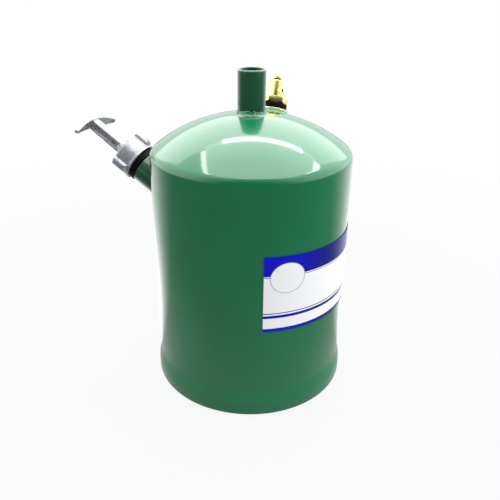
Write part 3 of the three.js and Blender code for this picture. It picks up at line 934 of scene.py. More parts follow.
@dataclass
class Studio:
    """Camera at the photograph's place, pale floor, white room and soft lamps."""

    camera_place: tuple[float, float, float] = (187.77, -380.93, 299.54)
    camera_heading: float = 22.67
    camera_pitch: float = 25.59
    camera_roll: float = 0.30
    focal_pixels: float = 564.95
    principal_pixel: Pair = (244.07, 250.29)
    room_heading: float = 22.0
    floor_radius: float = 4000.0
    floor_colour: str = "#9b9d9f"
    floor_white_share: float = 0.90
    floor_fade: Pair = (220.0, 700.0)
    room_light: float = 0.45
    sky_shine: tuple[Pair, ...] = (
        (-1.0, 1.0), (-0.88, 1.2), (-0.6, 2.5), (0.3, 2.5), (0.85, 0.06))
    floor_shine: tuple[Pair, ...] = (
        (-1.0, 0.5), (-0.94, 0.6), (-0.85, 1.2), (-0.57, 1.2), (-0.37, 0.85), (-0.05, 0.25))
    floor_glow: tuple[Pair, ...] = ((120.0, 2.2), (200.0, 1.6), (300.0, 1.15), (420.0, 1.0))
    lamps: dict[str, Lamp] = field(default_factory=lambda: {
        "ceiling_panel": Lamp((0.20, 0.04, 1.25), (1.56, 1.36), 2.8),
        "edge_back": Lamp((0.19, 0.67, 1.20), (1.02, 0.13), 12.0),
        "edge_left": Lamp((-0.58, 0.20, 1.20), (0.07, 0.78), 12.0),
        "edge_front": Lamp((0.25, -0.63, 1.20), (1.00, 0.06), 8.0),
        "edge_right": Lamp((0.97, 0.26, 1.20), (0.12, 0.66), 12.0),
        "back_wall": Lamp((0.0, 1.55, 1.30), (3.40, 1.50), 1.9, aimed=True),
        "fill_left": Lamp((-1.30, 0.20, 0.40), (1.20, 0.90), 1.1, aimed=True, mirrored=False),
        "fill_right": Lamp((1.30, 0.20, 0.40), (1.20, 0.90), 1.8, aimed=True, mirrored=False),
        "fill_front": Lamp((1.10, -1.10, 0.50), (1.20, 0.90), 1.6, aimed=True, mirrored=False),
    })

    def build(self) -> None:
        """Make the camera first, then the room and the lamps."""
        self.place_camera()
        self.lay_floor()
        self.light_room()
        centre = (Vector(cad_bounds[0]) + Vector(cad_bounds[1])) / 2
        room = Matrix.Translation(centre) @ Matrix.Rotation(math.radians(self.room_heading), 4, "Z")
        for name, lamp in self.lamps.items():
            lamp.hang(name, room)
        bpy.context.scene.view_settings.view_transform = "Standard"

    def place_camera(self) -> None:
        """Put the camera where the photograph was taken from."""
        data = bpy.data.cameras.new("photo_camera")
        data.sensor_width = SENSOR_WIDTH
        data.lens = self.focal_pixels / PHOTO_SIDE * SENSOR_WIDTH
        data.shift_x = 0.5 - self.principal_pixel[0] / PHOTO_SIDE
        data.shift_y = self.principal_pixel[1] / PHOTO_SIDE - 0.5
        data.clip_end = CLIP_END
        camera = bpy.data.objects.new("photo_camera", data)
        camera.matrix_world = (Matrix.Translation(Vector(self.camera_place) * MM)
                               @ Matrix.Rotation(math.radians(self.camera_heading), 4, "Z")
                               @ Matrix.Rotation(math.radians(90 - self.camera_pitch), 4, "X")
                               @ Matrix.Rotation(math.radians(self.camera_roll), 4, "Z"))
        bpy.context.collection.objects.link(camera)
        bpy.context.scene.camera = camera

    def facing_front(self, recipe: Recipe, way: bpy.types.NodeSocket) -> bpy.types.NodeSocket:
        """How far a direction faces the camera's side, from -1 to 1.

        Args:
            recipe: The node tree.
            way: The direction, of length 1.

        Returns:
            The share.
        """
        heading = math.radians(self.room_heading)
        front = (math.sin(heading), -math.cos(heading), 0.0)
        return recipe.add("ShaderNodeVectorMath", {"operation": "DOT_PRODUCT", 1: front},
                          {0: way}).outputs["Value"]

    def ramp(self, recipe: Recipe, value: bpy.types.NodeSocket, span: Pair,
             stops: Sequence[Pair]) -> bpy.types.NodeSocket:
        """Turn a value into a brightness that follows a few stops.

        Args:
            recipe: The node tree.
            value: What the brightness follows.
            span: The value at both ends of the ramp.
            stops: Pairs of a value and its brightness, in rising order.

        Returns:
            The brightness.
        """
        low, high = span
        ramp = recipe.add("ShaderNodeValToRGB", links={"Fac": recipe.spread(value, span)})
        marks = ramp.color_ramp.elements
        marks.remove(marks[1])
        most = max(brightness for _, brightness in stops)
        marks[0].position = (stops[0][0] - low) / (high - low)
        for index, (place, brightness) in enumerate(stops):
            mark = marks[0] if index == 0 else marks.new((place - low) / (high - low))
            mark.color = (brightness / most, brightness / most, brightness / most, 1.0)
        return recipe.maths("MULTIPLY", ramp.outputs["Color"], most)

    def lay_floor(self) -> None:
        """Lay a white floor, which shows the object's shadow and fades into the white room."""
        rest()
        bpy.ops.mesh.primitive_circle_add(vertices=ROUND_STEPS, radius=self.floor_radius * MM,
                                          fill_type="NGON")
        floor = named("studio_floor")
        recipe = Recipe("white_studio_floor")
        recipe.set(base_color=linear(self.floor_colour), roughness=0.9, specular_ior_level=0.0)
        matt = recipe.shader.outputs[0]
        reach = recipe.add("ShaderNodeVectorMath", {"operation": "LENGTH"},
                           {0: recipe.place}).outputs["Value"]
        fade = recipe.spread(reach, (self.floor_fade[0] * MM, self.floor_fade[1] * MM),
                             (self.floor_white_share, 1.0))
        white = recipe.add("ShaderNodeEmission", {"Strength": 1.0}).outputs[0]
        way = recipe.add("ShaderNodeVectorMath", {"operation": "NORMALIZE"}, {0: recipe.place})
        facing = self.facing_front(recipe, way.outputs["Vector"])
        shine = self.ramp(recipe, facing, (-1.0, 1.0), self.floor_shine)
        glow = self.ramp(recipe, reach, (0.0, self.floor_glow[-1][0] * MM),
                         [(reach_mm * MM, brightness) for reach_mm, brightness in self.floor_glow])
        bright = recipe.maths("MULTIPLY", shine, glow)
        mirrored = recipe.add("ShaderNodeEmission", links={"Strength": bright})
        path = recipe.add("ShaderNodeLightPath").outputs
        lit = recipe.blend(path["Is Glossy Ray"], matt, mirrored.outputs[0])
        seen = recipe.blend(fade, matt, white)
        both = recipe.blend(path["Is Camera Ray"], lit, seen)
        recipe.tree.links.new(both, recipe.tree.nodes["Material Output"].inputs["Surface"])
        floor.data.materials.append(recipe.material)
        floor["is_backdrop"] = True

    def light_room(self) -> None:
        """Fill the room with soft light. What shines sees it white behind and dark in front."""
        world = bpy.data.worlds.new("white_room")
        bpy.context.scene.world = world
        world.use_nodes = True
        recipe = Recipe.of_world(world)
        path = recipe.add("ShaderNodeLightPath").outputs
        gloss = self.ramp(recipe, self.facing_front(recipe, recipe.place), (-1.0, 1.0), self.sky_shine)
        straight = recipe.maths("MAXIMUM", path["Is Camera Ray"], path["Is Transmission Ray"])
        shiny = recipe.add("ShaderNodeMix", {"data_type": "FLOAT", 2: self.room_light},
                           {0: path["Is Glossy Ray"], 3: gloss})
        strength = recipe.add("ShaderNodeMix", {"data_type": "FLOAT", 3: 1.0},
                              {0: straight, 2: shiny.outputs[0]})
        sky = recipe.add("ShaderNodeBackground", {"Color": (1.0, 1.0, 1.0, 1.0)},
                         {"Strength": strength.outputs[0]})
        recipe.add("ShaderNodeOutputWorld", links={"Surface": sky.outputs[0]})


@dataclass
class Tank:
    """The pressure tank: drawn shell, dished bottom, burner socket and braze."""

    radius: float = 75.0
    straight_height: float = 182.0
    shoulder_radius: float = 8.0
    crown_radius: float = 117.5
    sheet: float = 1.2
    seam_proud: float = 2.2
    seam_height: float = 8.0
    seam_blend: float = 16.0
    seam_corner: float = 2.5
    foot_lip: float = 1.5
    pan_flange: float = 6.0
    pan_knuckle: float = 4.0
    pan_rise: float = 11.0
    socket_radius: float = 10.1
    socket_bore: float = 7.5
    socket_thread: float = 0.6
    socket_pitch: float = 1.5
    socket_height: float = 30.6
    socket_inside: float = 6.0
    socket_chamfer: float = 0.8
    socket_edge: float = 0.25
    thread_margins: Pair = (4.0, 1.0)
    hole_gap: float = 0.3
    socket_hole: Pair = (-6.0, 4.0)
    bush_hole: Pair = (-5.0, 4.0)
    sleeve_hole: Pair = (-46.0, 0.0)
    braze_width: float = 4.2
    braze_rise: float = 4.4
    braze_power: float = 1.5
    braze_pinch: float = 0.8
    braze_lumps: tuple[Pair, ...] = ((0.55, 0.45), (0.22, 1.3))
    braze_sunk: Pair = (0.1, 0.9)
    braze_steps: tuple[int, int] = (160, 16)
    ring_pitch: float = 5.5
    sides: int = 200
    corner_steps: int = 8
    blend_steps: int = 12
    shoulder_steps: int = 16
    pan_steps: int = 24
    crown_steps: int = 30

    def place(self) -> Matrix:
        """The tank's own frame, on the ground under the burner socket."""
        low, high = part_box("burner_socket")
        return Matrix.Translation(((low[0] + high[0]) / 2, (low[1] + high[1]) / 2, 0.0))

    def crown_centre(self) -> float:
        """Height of the centre of the crown's sphere."""
        across, reach = self.radius - self.shoulder_radius, self.crown_radius - self.shoulder_radius
        return self.straight_height - math.sqrt(reach ** 2 - across ** 2)

    def crown_top(self) -> float:
        """Height of the crown's top."""
        return self.crown_centre() + self.crown_radius

    def skin(self, inset: float) -> list[Pair]:
        """Outline of one side of the sheet, from the foot's lip to the axis.

        Args:
            inset: How far the side lies inside the shell's outer face.

        Returns:
            Radii and heights in millimetres.
        """
        wall = self.radius - inset
        seam = self.radius + self.seam_proud
        corner = arc((seam - self.seam_corner, self.seam_corner), self.seam_corner - inset, -90, 0,
                     self.corner_steps)
        blend = []
        for i in range(self.blend_steps + 1):
            share = (1 + math.cos(math.pi * i / self.blend_steps)) / 2
            blend.append((wall + self.seam_proud * share,
                          self.seam_height + self.seam_blend * i / self.blend_steps))
        low = self.seam_height + self.seam_blend
        rings = int((self.straight_height - low) / self.ring_pitch)
        rise = (self.straight_height - low) / rings
        side = [(wall, low + rise * i) for i in range(1, rings)]
        across = self.radius - self.shoulder_radius
        end = math.degrees(math.atan2(self.straight_height - self.crown_centre(), across))
        shoulder = arc((across, self.straight_height), self.shoulder_radius - inset, 0, end,
                       self.shoulder_steps)
        crown = arc((0, self.crown_centre()), self.crown_radius - inset, end, 90, self.crown_steps)
        crown[-1] = (0, crown[-1][1])
        lip = (seam - self.seam_corner - self.foot_lip, inset)
        return [lip, *corner, *blend, *side, *shoulder, *crown[1:]]

    def build(self) -> None:
        """Make the tank's pieces."""
        place = self.place()
        top = self.crown_top()
        fit(self.shell(place), place, "tank", ENAMEL, ["tank_shell"])
        fit(self.bottom(), place, "tank", ENAMEL, ["tank_bottom"])
        # The socket and its thread take the darker enamel, which is painted shade.
        fit(self.socket(), place, "tank", SHADED_FITTING_ENAMEL, ["burner_socket"])
        thread = threaded("burner_socket_thread", self.socket_bore + self.socket_thread, self.socket_bore,
                          self.socket_pitch, top + self.thread_margins[0],
                          top + self.socket_height - self.thread_margins[1])
        fit(thread, place, "tank", SHADED_FITTING_ENAMEL)
        braze = self.braze("burner_socket_braze", self.socket_radius, lambda turn: top)
        fit(braze, place, "tank", ENAMEL)

    def shell(self, place: Matrix) -> bpy.types.Object:
        """The drawn shell, with holes for the socket, the filler's bush and the pump's sleeve."""
        shell = turned("tank_shell_smooth", [*self.skin(self.sheet)[::-1], *self.skin(0)], self.sides)
        crown = place @ Matrix.Translation((0, 0, self.crown_top() * MM))
        for name, radius, (low, high), frame_of_hole in (
                ("socket_hole", self.socket_radius, self.socket_hole, crown),
                ("bush_hole", FillerCap.bush_radius, self.bush_hole, joint_place("filler_cap_turn")),
                ("sleeve_hole", HandPump.sleeve_radius, self.sleeve_hole, joint_place("pump_unit_turn"))):
            hole = rod(name, radius + self.hole_gap, low, high)
            hole.data.transform(place.inverted() @ frame_of_hole)
            combine(shell, hole, Cut.REMOVE)
        smooth(shell)
        return shell

    def bottom(self) -> bpy.types.Object:
        """The dished plate inside the foot."""
        outer = self.radius + self.seam_proud - self.sheet - self.hole_gap
        floor = self.seam_corner
        high = floor + self.pan_flange
        bend = outer - self.pan_knuckle
        edge = bend - self.pan_knuckle
        top = high + self.pan_knuckle + self.pan_rise
        dish_radius = (edge ** 2 + self.pan_rise ** 2) / (2 * self.pan_rise)
        start = 90 - math.degrees(math.asin(edge / dish_radius))

        def plate(drop: float) -> list[Pair]:
            """One face of the plate, from the flange's lower edge to the axis."""
            dish = arc((0, top - drop - dish_radius), dish_radius, start, 90, self.pan_steps)
            dish[-1] = (0, top - drop)
            knuckle = arc((bend, high), self.pan_knuckle - drop, 0, 90, self.corner_steps)
            return [(outer - drop, floor), *knuckle, *dish[1:]]

        pan = turned("tank_bottom_smooth", [*plate(self.sheet)[::-1], *plate(0)], self.sides)
        smooth(pan)
        return pan

    def socket(self) -> bpy.types.Object:
        """The socket's tube, with a chamfered rim and the thread's root as its bore."""
        low, high = self.crown_top() - self.socket_inside, self.crown_top() + self.socket_height
        bore, lead = self.socket_bore + self.socket_thread, self.socket_chamfer
        tube = turned("burner_socket_smooth", rounded([
            (bore, low), (self.socket_radius, low), (self.socket_radius, high - lead),
            (self.socket_radius - lead, high), (self.socket_bore + lead, high), (bore, high - lead),
            (bore, low)], self.socket_edge))
        smooth(tube)
        return tube

    def braze(self, name: str, radius: float, height: Callable[[float], float]) -> bpy.types.Object:
        """A lumpy fillet of braze round a tube's foot.

        Args:
            name: The piece's name.
            radius: The tube's radius.
            height: Height of the tank's skin at each angle round the tube.

        Returns:
            The fillet, in the tube's own frame.
        """
        rest()
        rounds, around = self.braze_steps
        bpy.ops.mesh.primitive_torus_add(major_segments=rounds, minor_segments=around,
                                         major_radius=radius * MM, minor_radius=MM)
        bead = named(name)
        for index, vertex in enumerate(bead.data.vertices):
            turn = 2 * math.pi * (index // around) / rounds
            swing = 2 * math.pi * (index % around) / around
            along = Vector((math.cos(turn), math.sin(turn), 0.0)) * radius
            swell = 1 + sum(size * noise.noise(along * pace) for size, pace in self.braze_lumps)
            out, up = (1 + math.cos(swing)) / 2, (1 + math.sin(swing)) / 2
            wide = self.braze_width * swell * out ** self.braze_power * (1 - self.braze_pinch * up)
            tall = self.braze_rise * swell * up ** self.braze_power * (1 - self.braze_pinch * out)
            reach = radius - self.braze_sunk[0] + wide
            rise = height(turn) - self.braze_sunk[1] + tall
            vertex.co = (reach * math.cos(turn) * MM, reach * math.sin(turn) * MM, rise * MM)
        mend(bead)
        smooth(bead, NO_EDGE)
        return bead


@dataclass
class Label:
    """The film round the tank's side, put on a little askew."""

    tank: Tank
    length: float = 120.0
    height: float = 59.0
    base: float = 74.2
    drop: float = 2.0
    start: float = -60.8
    gap: float = 0.3
    thickness: float = 0.25
    edge_angle: float = 40.0
    columns: int = 96
    rows: int = 32

    def build(self) -> None:
        """Lay the sheet flat, give it its thickness, then wrap it round the tank."""
        rest()
        bpy.ops.mesh.primitive_grid_add(x_subdivisions=self.columns, y_subdivisions=self.rows, size=MM)
        sheet = named("label_smooth")
        sheet.data.transform(Matrix.Diagonal((self.length, self.height, 1.0, 1.0)))
        apply_modifier(sheet, "SOLIDIFY", thickness=self.thickness * MM, offset=1.0)
        outer = self.tank.radius + self.gap + self.thickness
        for vertex in sheet.data.vertices:
            along = vertex.co.x / MM + self.length / 2
            turn = math.radians(self.start) + along / outer
            radius = outer + vertex.co.z / MM - self.thickness
            rise = self.base + vertex.co.y / MM + self.height / 2 - self.drop * along / self.length
            vertex.co = (radius * math.cos(turn) * MM, radius * math.sin(turn) * MM, rise * MM)
        mend(sheet)
        smooth(sheet, self.edge_angle)
        film = PrintedFilm(self.length, self.height)
        fit(sheet, self.tank.place(), "tank", film, ["label"])


@dataclass
class FillerCap:
    """The filler: bush in the crown, rubber ring, hexagonal cap with a vent, and bleed screw."""

    bush_radius: float = 11.2
    bush_bore: float = 8.0
    bush_proud: float = 2.6
    bush_inside: float = 8.0
    bush_edge: float = 0.35
    gap: float = 0.3
    gasket_radius: float = 10.5
    gasket_thickness: float = 4.0
    gasket_edge: float = 0.6
    across_flats: float = 18.6
    hex_height: float = 4.8
    hex_turn: float = 86.0
    hex_chamfer_slope: float = 0.6
    hex_chamfer_margin: float = 0.2
    hex_edge: float = 0.25
    hex_edge_angle: float = 30.0
    boss_radius: float = 4.9
    boss_height: float = 12.6
    boss_edge: float = 0.6
    thread_length: float = 12.0
    thread_depth: float = 0.55
    thread_pitch: float = 1.5
    vent_height: float = 5.0
    vent_radius: float = 2.7
    vent_bore: float = 1.1
    vent_proud: float = 1.8
    vent_edge: float = 0.45
    vent_turn: float = -109.0
    bore_depth: float = 6.0
    bore_steps: int = 32
    screw_head: float = 2.9
    screw_head_height: float = 2.0
    screw_shank: float = 1.6
    screw_length: float = 15.0
    screw_point: float = 1.8
    screw_slot: float = 0.8
    screw_slot_depth: float = 0.9
    screw_edge: float = 0.5
    screw_steps: int = 64
    seal_thickness: float = 0.8
    seal_edge: float = 0.2

    def build(self, tank: Tank) -> None:
        """Make the filler's pieces.

        Args:
            tank: The tank that it stands on.
        """
        place = joint_place("filler_cap_turn")
        bush = ring("filler_bush_smooth", (self.bush_bore, self.bush_radius),
                    (-self.bush_inside, self.bush_proud), self.bush_edge)
        fit(bush, place, "tank", BRASS, ["filler_bush"])
        drop = math.sqrt(tank.crown_radius ** 2 - self.bush_radius ** 2) - tank.crown_radius
        braze = tank.braze("filler_bush_braze", self.bush_radius, lambda turn: drop)
        fit(braze, place, "tank", ENAMEL)
        low = self.bush_proud + self.gap
        gasket = ring("filler_gasket_smooth", (self.bush_bore, self.gasket_radius),
                      (low, low + self.gasket_thickness), self.gasket_edge, angle=MOULDED_EDGE_ANGLE)
        fit(gasket, place, "filler_seal", RUBBER, ["filler_gasket"])
        hex_low = low + self.gasket_thickness + self.gap
        fit(self.cap(hex_low), place, "filler_cap", BRASS, ["filler_cap"])
        thread = threaded("filler_cap_thread", self.bush_bore - self.gap - self.thread_depth,
                          self.bush_bore - self.gap, self.thread_pitch, hex_low - self.thread_length,
                          hex_low)
        fit(thread, place, "filler_cap", BRASS)
        seal_low = hex_low + self.hex_height + self.boss_height + self.gap
        seal_high = seal_low + self.seal_thickness
        seal = ring("bleed_seal_smooth", (self.screw_shank + self.gap, self.screw_head),
                    (seal_low, seal_high), self.seal_edge, SMALL_ROUND_STEPS, MOULDED_EDGE_ANGLE)
        fit(seal, place, "bleed_seal", RUBBER, ["bleed_seal"])
        fit(self.screw(seal_high + self.gap), place, "bleed_screw", BRASS, ["bleed_screw"])

    def cap(self, low: float) -> bpy.types.Object:
        """The cap: chamfered hexagon, round boss, threaded stem and side vent.

        Args:
            low: Height of the hexagon's lower face.

        Returns:
            The cap.
        """
        high = low + self.hex_height
        face = self.across_flats / 2
        corner = face / math.cos(math.pi / 6)
        rest()
        bpy.ops.mesh.primitive_cylinder_add(vertices=6, radius=corner * MM, depth=self.hex_height * MM,
                                            location=(0, 0, (low + high) / 2 * MM))
        cap = named("filler_cap_smooth")
        bpy.ops.object.transform_apply(location=True, rotation=False, scale=False)
        cap.data.transform(Matrix.Rotation(math.radians(self.hex_turn), 4, "Z"))
        lead, outside = (corner - face) * self.hex_chamfer_slope, corner + self.hex_chamfer_margin
        combine(cap, turned("hex_chamfer", [
            (0, low), (face, low), (outside, low + lead), (outside, high - lead),
            (face, high), (0, high)]), Cut.KEEP)
        apply_modifier(cap, "BEVEL", width=self.hex_edge * MM, segments=2, limit_method="ANGLE",
                       angle_limit=math.radians(self.hex_edge_angle))
        boss_high = high + self.boss_height
        stem = self.bush_bore - self.gap - self.thread_depth
        combine(cap, turned("boss", rounded([
            (0, low - self.thread_length), (stem, low - self.thread_length), (stem, high - OVERLAP),
            (self.boss_radius, high - OVERLAP), (self.boss_radius, boss_high), (0, boss_high)],
            self.boss_edge)), Cut.ADD)
        side = (Matrix.Translation((0, 0, (high + self.vent_height) * MM))
                @ (Matrix.Rotation(math.radians(self.vent_turn), 4, "Z")
                   @ Matrix.Rotation(math.pi / 2, 4, "Y")))
        reach = self.boss_radius + self.vent_proud
        vent = turned("vent", rounded(plug(self.vent_radius, 0, reach), self.vent_edge), SMALL_ROUND_STEPS)
        vent.data.transform(side)
        combine(cap, vent, Cut.ADD)
        bore = rod("vent_bore", self.vent_bore, 0, reach + 2 * OVERLAP, self.bore_steps)
        bore.data.transform(side)
        combine(cap, bore, Cut.REMOVE)
        combine(cap, rod("screw_bore", self.screw_shank + self.gap, boss_high - self.bore_depth,
                         boss_high + 2 * OVERLAP, self.bore_steps), Cut.REMOVE)
        smooth(cap)
        return cap

    def screw(self, low: float) -> bpy.types.Object:
        """The bleed screw, with a slotted round head.

        Args:
            low: Height of the head's lower face.

        Returns:
            The screw.
        """
        top, tip = low + self.screw_head_height, low - self.screw_length
        screw = turned("bleed_screw_smooth", rounded([
            (0, tip), (self.screw_shank, tip + self.screw_point), (self.screw_shank, low),
            (self.screw_head, low), (self.screw_head, top), (0, top)], self.screw_edge), self.screw_steps)
        slot = (3 * self.screw_head, self.screw_slot, 2 * self.screw_slot_depth)
        combine(screw, block("screw_slot", (0, 0, top), slot), Cut.REMOVE)
        smooth(screw)
        return screw


@dataclass
class HandPump:
    """The pump: sleeve in the tank's side, rubber ring, lugged cap, rod and cast handle."""

    sleeve_radius: float = 13.5
    sleeve_bore: float = 11.0
    sleeve_edge: float = 0.4
    gap: float = 0.3
    gasket_radius: float = 14.2
    gasket_thickness: float = 4.4
    gasket_edge: float = 0.7
    rim_radius: float = 15.8
    rim_thickness: float = 1.6
    body_radius: float = 15.4
    body_length: float = 15.7
    body_chamfer: float = 1.2
    spigot_length: float = 16.0
    barrel_outer: float = 9.0
    barrel_seat: float = -2.5
    thread_depth: float = 0.6
    thread_pitch: float = 1.5
    lug_reach: float = 19.0
    lug_start: float = 1.9
    lug_length: float = 13.6
    lug_thickness: float = 7.0
    lug_heel: float = 5.5
    lug_nose: float = 3.0
    lug_steps: int = 10
    lug_turns: tuple[float, ...] = (76.0, 196.0, 316.0)
    rod_radius: float = 3.0
    cast_voxel: float = 0.30
    cast_softening: float = 0.5
    cast_rounds: int = 4
    handle_turn: float = 2.3
    foot_radius: float = 7.0
    foot_thickness: float = 2.0
    flare_height: float = 3.4
    flare_radius: float = 5.0
    stem_base: Pair = (9.4, 9.2)
    stem_top: Pair = (8.6, 8.4)
    stem_corner: float = 1.6
    stem_steps: int = 5
    stem_length: float = 35.2
    flute_width: float = 4.8
    flute_web: float = 5.8
    flute_start: float = 6.5
    flute_length: float = 26.0
    pin_height: float = 11.0
    pin_radius: float = 1.2
    pin_recess: float = 0.8
    pin_edge: float = 0.25
    pin_steps: int = 40
    pin_hole_steps: int = 32
    bar_half_span: float = 25.8
    bar_droop: float = 4.7
    bar_thickness: float = 2.8
    bar_tip_thickness: float = 2.0
    bar_half_width: float = 5.0
    bar_tip_half_width: float = 1.7
    bar_crown: float = 0.35
    bar_cuts: int = 39
    bar_hollow: float = 1.2
    bar_wall: float = 1.0
    bar_tip_walls: float = 1.6
    hollow_cuts: int = 19
    knob_radius: float = 1.7
    knob_steps: tuple[int, int] = (32, 16)
    spring_radius: float = 3.0
    spring_wire: float = 0.7
    spring_half_turns: int = 9
    spring_steps: int = 16
    spring_edge_angle: float = 50.0
    foot_valve_lift: float = 1.5

    def handle_low(self) -> float:
        """Height of the handle's foot on the pump's axis."""
        return self.body_length + self.gap

    def handle_spin(self) -> Matrix:
        """How far the handle is turned on the pump's axis at rest."""
        return Matrix.Rotation(math.radians(self.handle_turn), 4, "Z")

    def pin_place(self) -> Matrix:
        """Frame of the cross pin, with Z along it."""
        lift = Matrix.Translation((0, 0, (self.handle_low() + self.pin_height) * MM))
        return lift @ Matrix.Rotation(math.pi / 2, 4, "X")

    def build(self, tank: Tank) -> None:
        """Make the pump's pieces.

        Args:
            tank: The tank that carries it.
        """
        place = joint_place("pump_unit_turn")
        self.build_sleeve(tank, place)
        fit(self.cap(), place, "pump_unit", CAST_ALLOY, ["pump_cap"])
        spigot = self.sleeve_bore - self.gap
        thread = threaded("pump_cap_thread", spigot - self.thread_depth, spigot, self.thread_pitch,
                          -self.spigot_length, 0)
        fit(thread, place, "pump_unit", CAST_ALLOY)
        fit(self.handle(), place, "handle", CAST_ALLOY, ["pump_handle"])
        end = self.flute_web / 2 - self.pin_recess
        pin = turned("handle_pin_smooth", rounded(plug(self.pin_radius, -end, end), self.pin_edge),
                     self.pin_steps)
        pin.data.transform(self.handle_spin() @ self.pin_place())
        smooth(pin)
        fit(pin, place, "handle", STEEL, ["handle_pin"])
        dress(BRASS, "pump_barrel", "valve_body", "valve_cap")
        self.build_spring(place)
        dress(STEEL, "back_washer", "front_washer", "rod_nut", "pump_rod")
        dress(RUBBER, "valve_disc")
        dress(LEATHER, "cup_leather")
        dress(FIBRE, "valve_gasket")

    def build_spring(self, place: Matrix) -> None:
        """Coil the foot valve's spring where the solid stands.

        Args:
            place: The pump's frame.
        """
        node = bpy.data.objects["valve_spring"]
        to_axis = place.inverted() @ node.matrix_world
        heights = [(to_axis @ vertex.co).z for vertex in node.data.vertices]
        low, length = min(heights), max(heights) - min(heights)
        wire = self.spring_wire / 2 * MM
        rest()
        bpy.ops.mesh.primitive_circle_add(vertices=self.spring_steps, radius=wire)
        coil = named("valve_spring_coil")
        coil.data.transform(Matrix.Translation((self.spring_radius * MM, 0, low + wire))
                            @ Matrix.Rotation(math.pi / 2, 4, "X"))
        climb(coil, math.pi, (length - self.spring_wire * MM) / self.spring_half_turns,
              self.spring_half_turns, self.spring_steps)
        smooth(coil, self.spring_edge_angle)
        fit(coil, place, "pump_unit", STEEL, ["valve_spring"])
        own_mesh(coil)

    def build_sleeve(self, tank: Tank, place: Matrix) -> None:
        """Make the sleeve, its braze and its rubber ring.

        Args:
            tank: The tank that carries the sleeve.
            place: The pump's frame.
        """
        top = -self.gasket_thickness - 2 * self.gap
        sleeve = ring("pump_sleeve_smooth", (self.sleeve_bore, self.sleeve_radius),
                      (self.sleeve_end(place), top), self.sleeve_edge)
        # The sleeve takes the darker enamel, which is painted shade.
        fit(sleeve, place, "tank", SHADED_FITTING_ENAMEL, ["pump_sleeve"])
        gasket = ring("pump_gasket_smooth", (self.sleeve_bore, self.gasket_radius),
                      (top + self.gap, -self.gap), self.gasket_edge, angle=MOULDED_EDGE_ANGLE)
        fit(gasket, place, "pump_seal", RUBBER, ["pump_gasket"])
        to_tank = tank.place().inverted() @ place

        def skin(turn: float) -> float:
            """Where a line on the sleeve's side meets the tank's side, along the pump's axis."""
            start = to_tank @ (Vector((math.cos(turn), math.sin(turn), 0)) * self.sleeve_radius * MM)
            way = to_tank.to_3x3() @ Vector((0, 0, 1))
            a = way.x ** 2 + way.y ** 2
            b = 2 * (start.x * way.x + start.y * way.y)
            c = start.x ** 2 + start.y ** 2 - (tank.radius * MM) ** 2
            return (-b + math.sqrt(b * b - 4 * a * c)) / (2 * a) / MM

        braze = tank.braze("pump_sleeve_braze", self.sleeve_radius, skin)
        fit(braze, place, "tank", ENAMEL)

    def sleeve_end(self, place: Matrix) -> float:
        """Where the sleeve ends inside the tank, from the node's own box.

        Args:
            place: The pump's frame.

        Returns:
            The height on the pump's axis in millimetres.
        """
        _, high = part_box("pump_sleeve")
        axis = place.to_3x3() @ Vector((0, 0, 1))
        deep = (high[0] - place.translation.x) / MM - self.sleeve_radius * abs(axis.z)
        return deep / axis.x

    def cap(self) -> bpy.types.Object:
        """The cast cap: rim, round body, spigot and three lugs, with soft cast edges."""
        spigot = self.sleeve_bore - self.gap - self.thread_depth
        socket, guide, seat = self.barrel_outer + self.gap, self.rod_radius + self.gap, self.barrel_seat
        chamfer = self.body_chamfer
        cap = turned("pump_cap_cast", [
            (socket, -self.spigot_length), (spigot, -self.spigot_length), (spigot, 0), (self.rim_radius, 0),
            (self.rim_radius, self.rim_thickness), (self.body_radius, self.rim_thickness),
            (self.body_radius, self.body_length - chamfer), (self.body_radius - chamfer, self.body_length),
            (guide, self.body_length), (guide, seat), (socket, seat), (socket, -self.spigot_length)])
        for turn in self.lug_turns:
            combine(cap, self.lug(turn), Cut.ADD)
        self.soften(cap)
        return cap

    def lug(self, turn: float) -> bpy.types.Object:
        """A lug for the fingers, rounded at its heel, its nose and its outer edge.

        Args:
            turn: Its angle round the pump's axis in degrees.

        Returns:
            The lug.
        """
        root, low, high = self.body_radius / 2, self.lug_start, self.lug_start + self.lug_length
        half = self.lug_thickness / 2
        lug = block("pump_lug", ((root + self.lug_reach) / 2, 0, (low + high) / 2),
                    (self.lug_reach - root, 2 * half, high - low))
        for height, radius in ((low, self.lug_heel), (high, self.lug_nose)):
            corner = Vector((self.lug_reach, 0, height)) * MM

            def at_corner(co: Vector, corner: Vector = corner) -> bool:
                """Whether a place is on the lug's long edge at this corner."""
                return (Vector((co.x, 0, co.z)) - corner).length < WELD_DISTANCE

            with picking(lug, "VERT", at_corner):
                bpy.ops.mesh.bevel(offset=radius * MM, segments=self.lug_steps, affect="EDGES")
        edge = rod("lug_edge", half, low - OVERLAP, high + OVERLAP)
        edge.data.transform(Matrix.Translation(((self.lug_reach - half) * MM, 0, 0)))
        with picking(edge, "VERT", lambda co: co.x < (self.lug_reach - half - NEAR) * MM):
            bpy.ops.transform.translate(value=((root + half - self.lug_reach - OVERLAP) * MM, 0, 0))
        combine(lug, edge, Cut.KEEP)
        lug.data.transform(Matrix.Rotation(math.radians(turn), 4, "Z"))
        return lug

    def soften(self, casting: bpy.types.Object) -> None:
        """Give joined solids one skin with soft edges and fillets, as a casting has."""
        apply_modifier(casting, "REMESH", mode="VOXEL", voxel_size=self.cast_voxel * MM)
        apply_modifier(casting, "SMOOTH", factor=self.cast_softening, iterations=self.cast_rounds)
        smooth(casting, NO_EDGE)

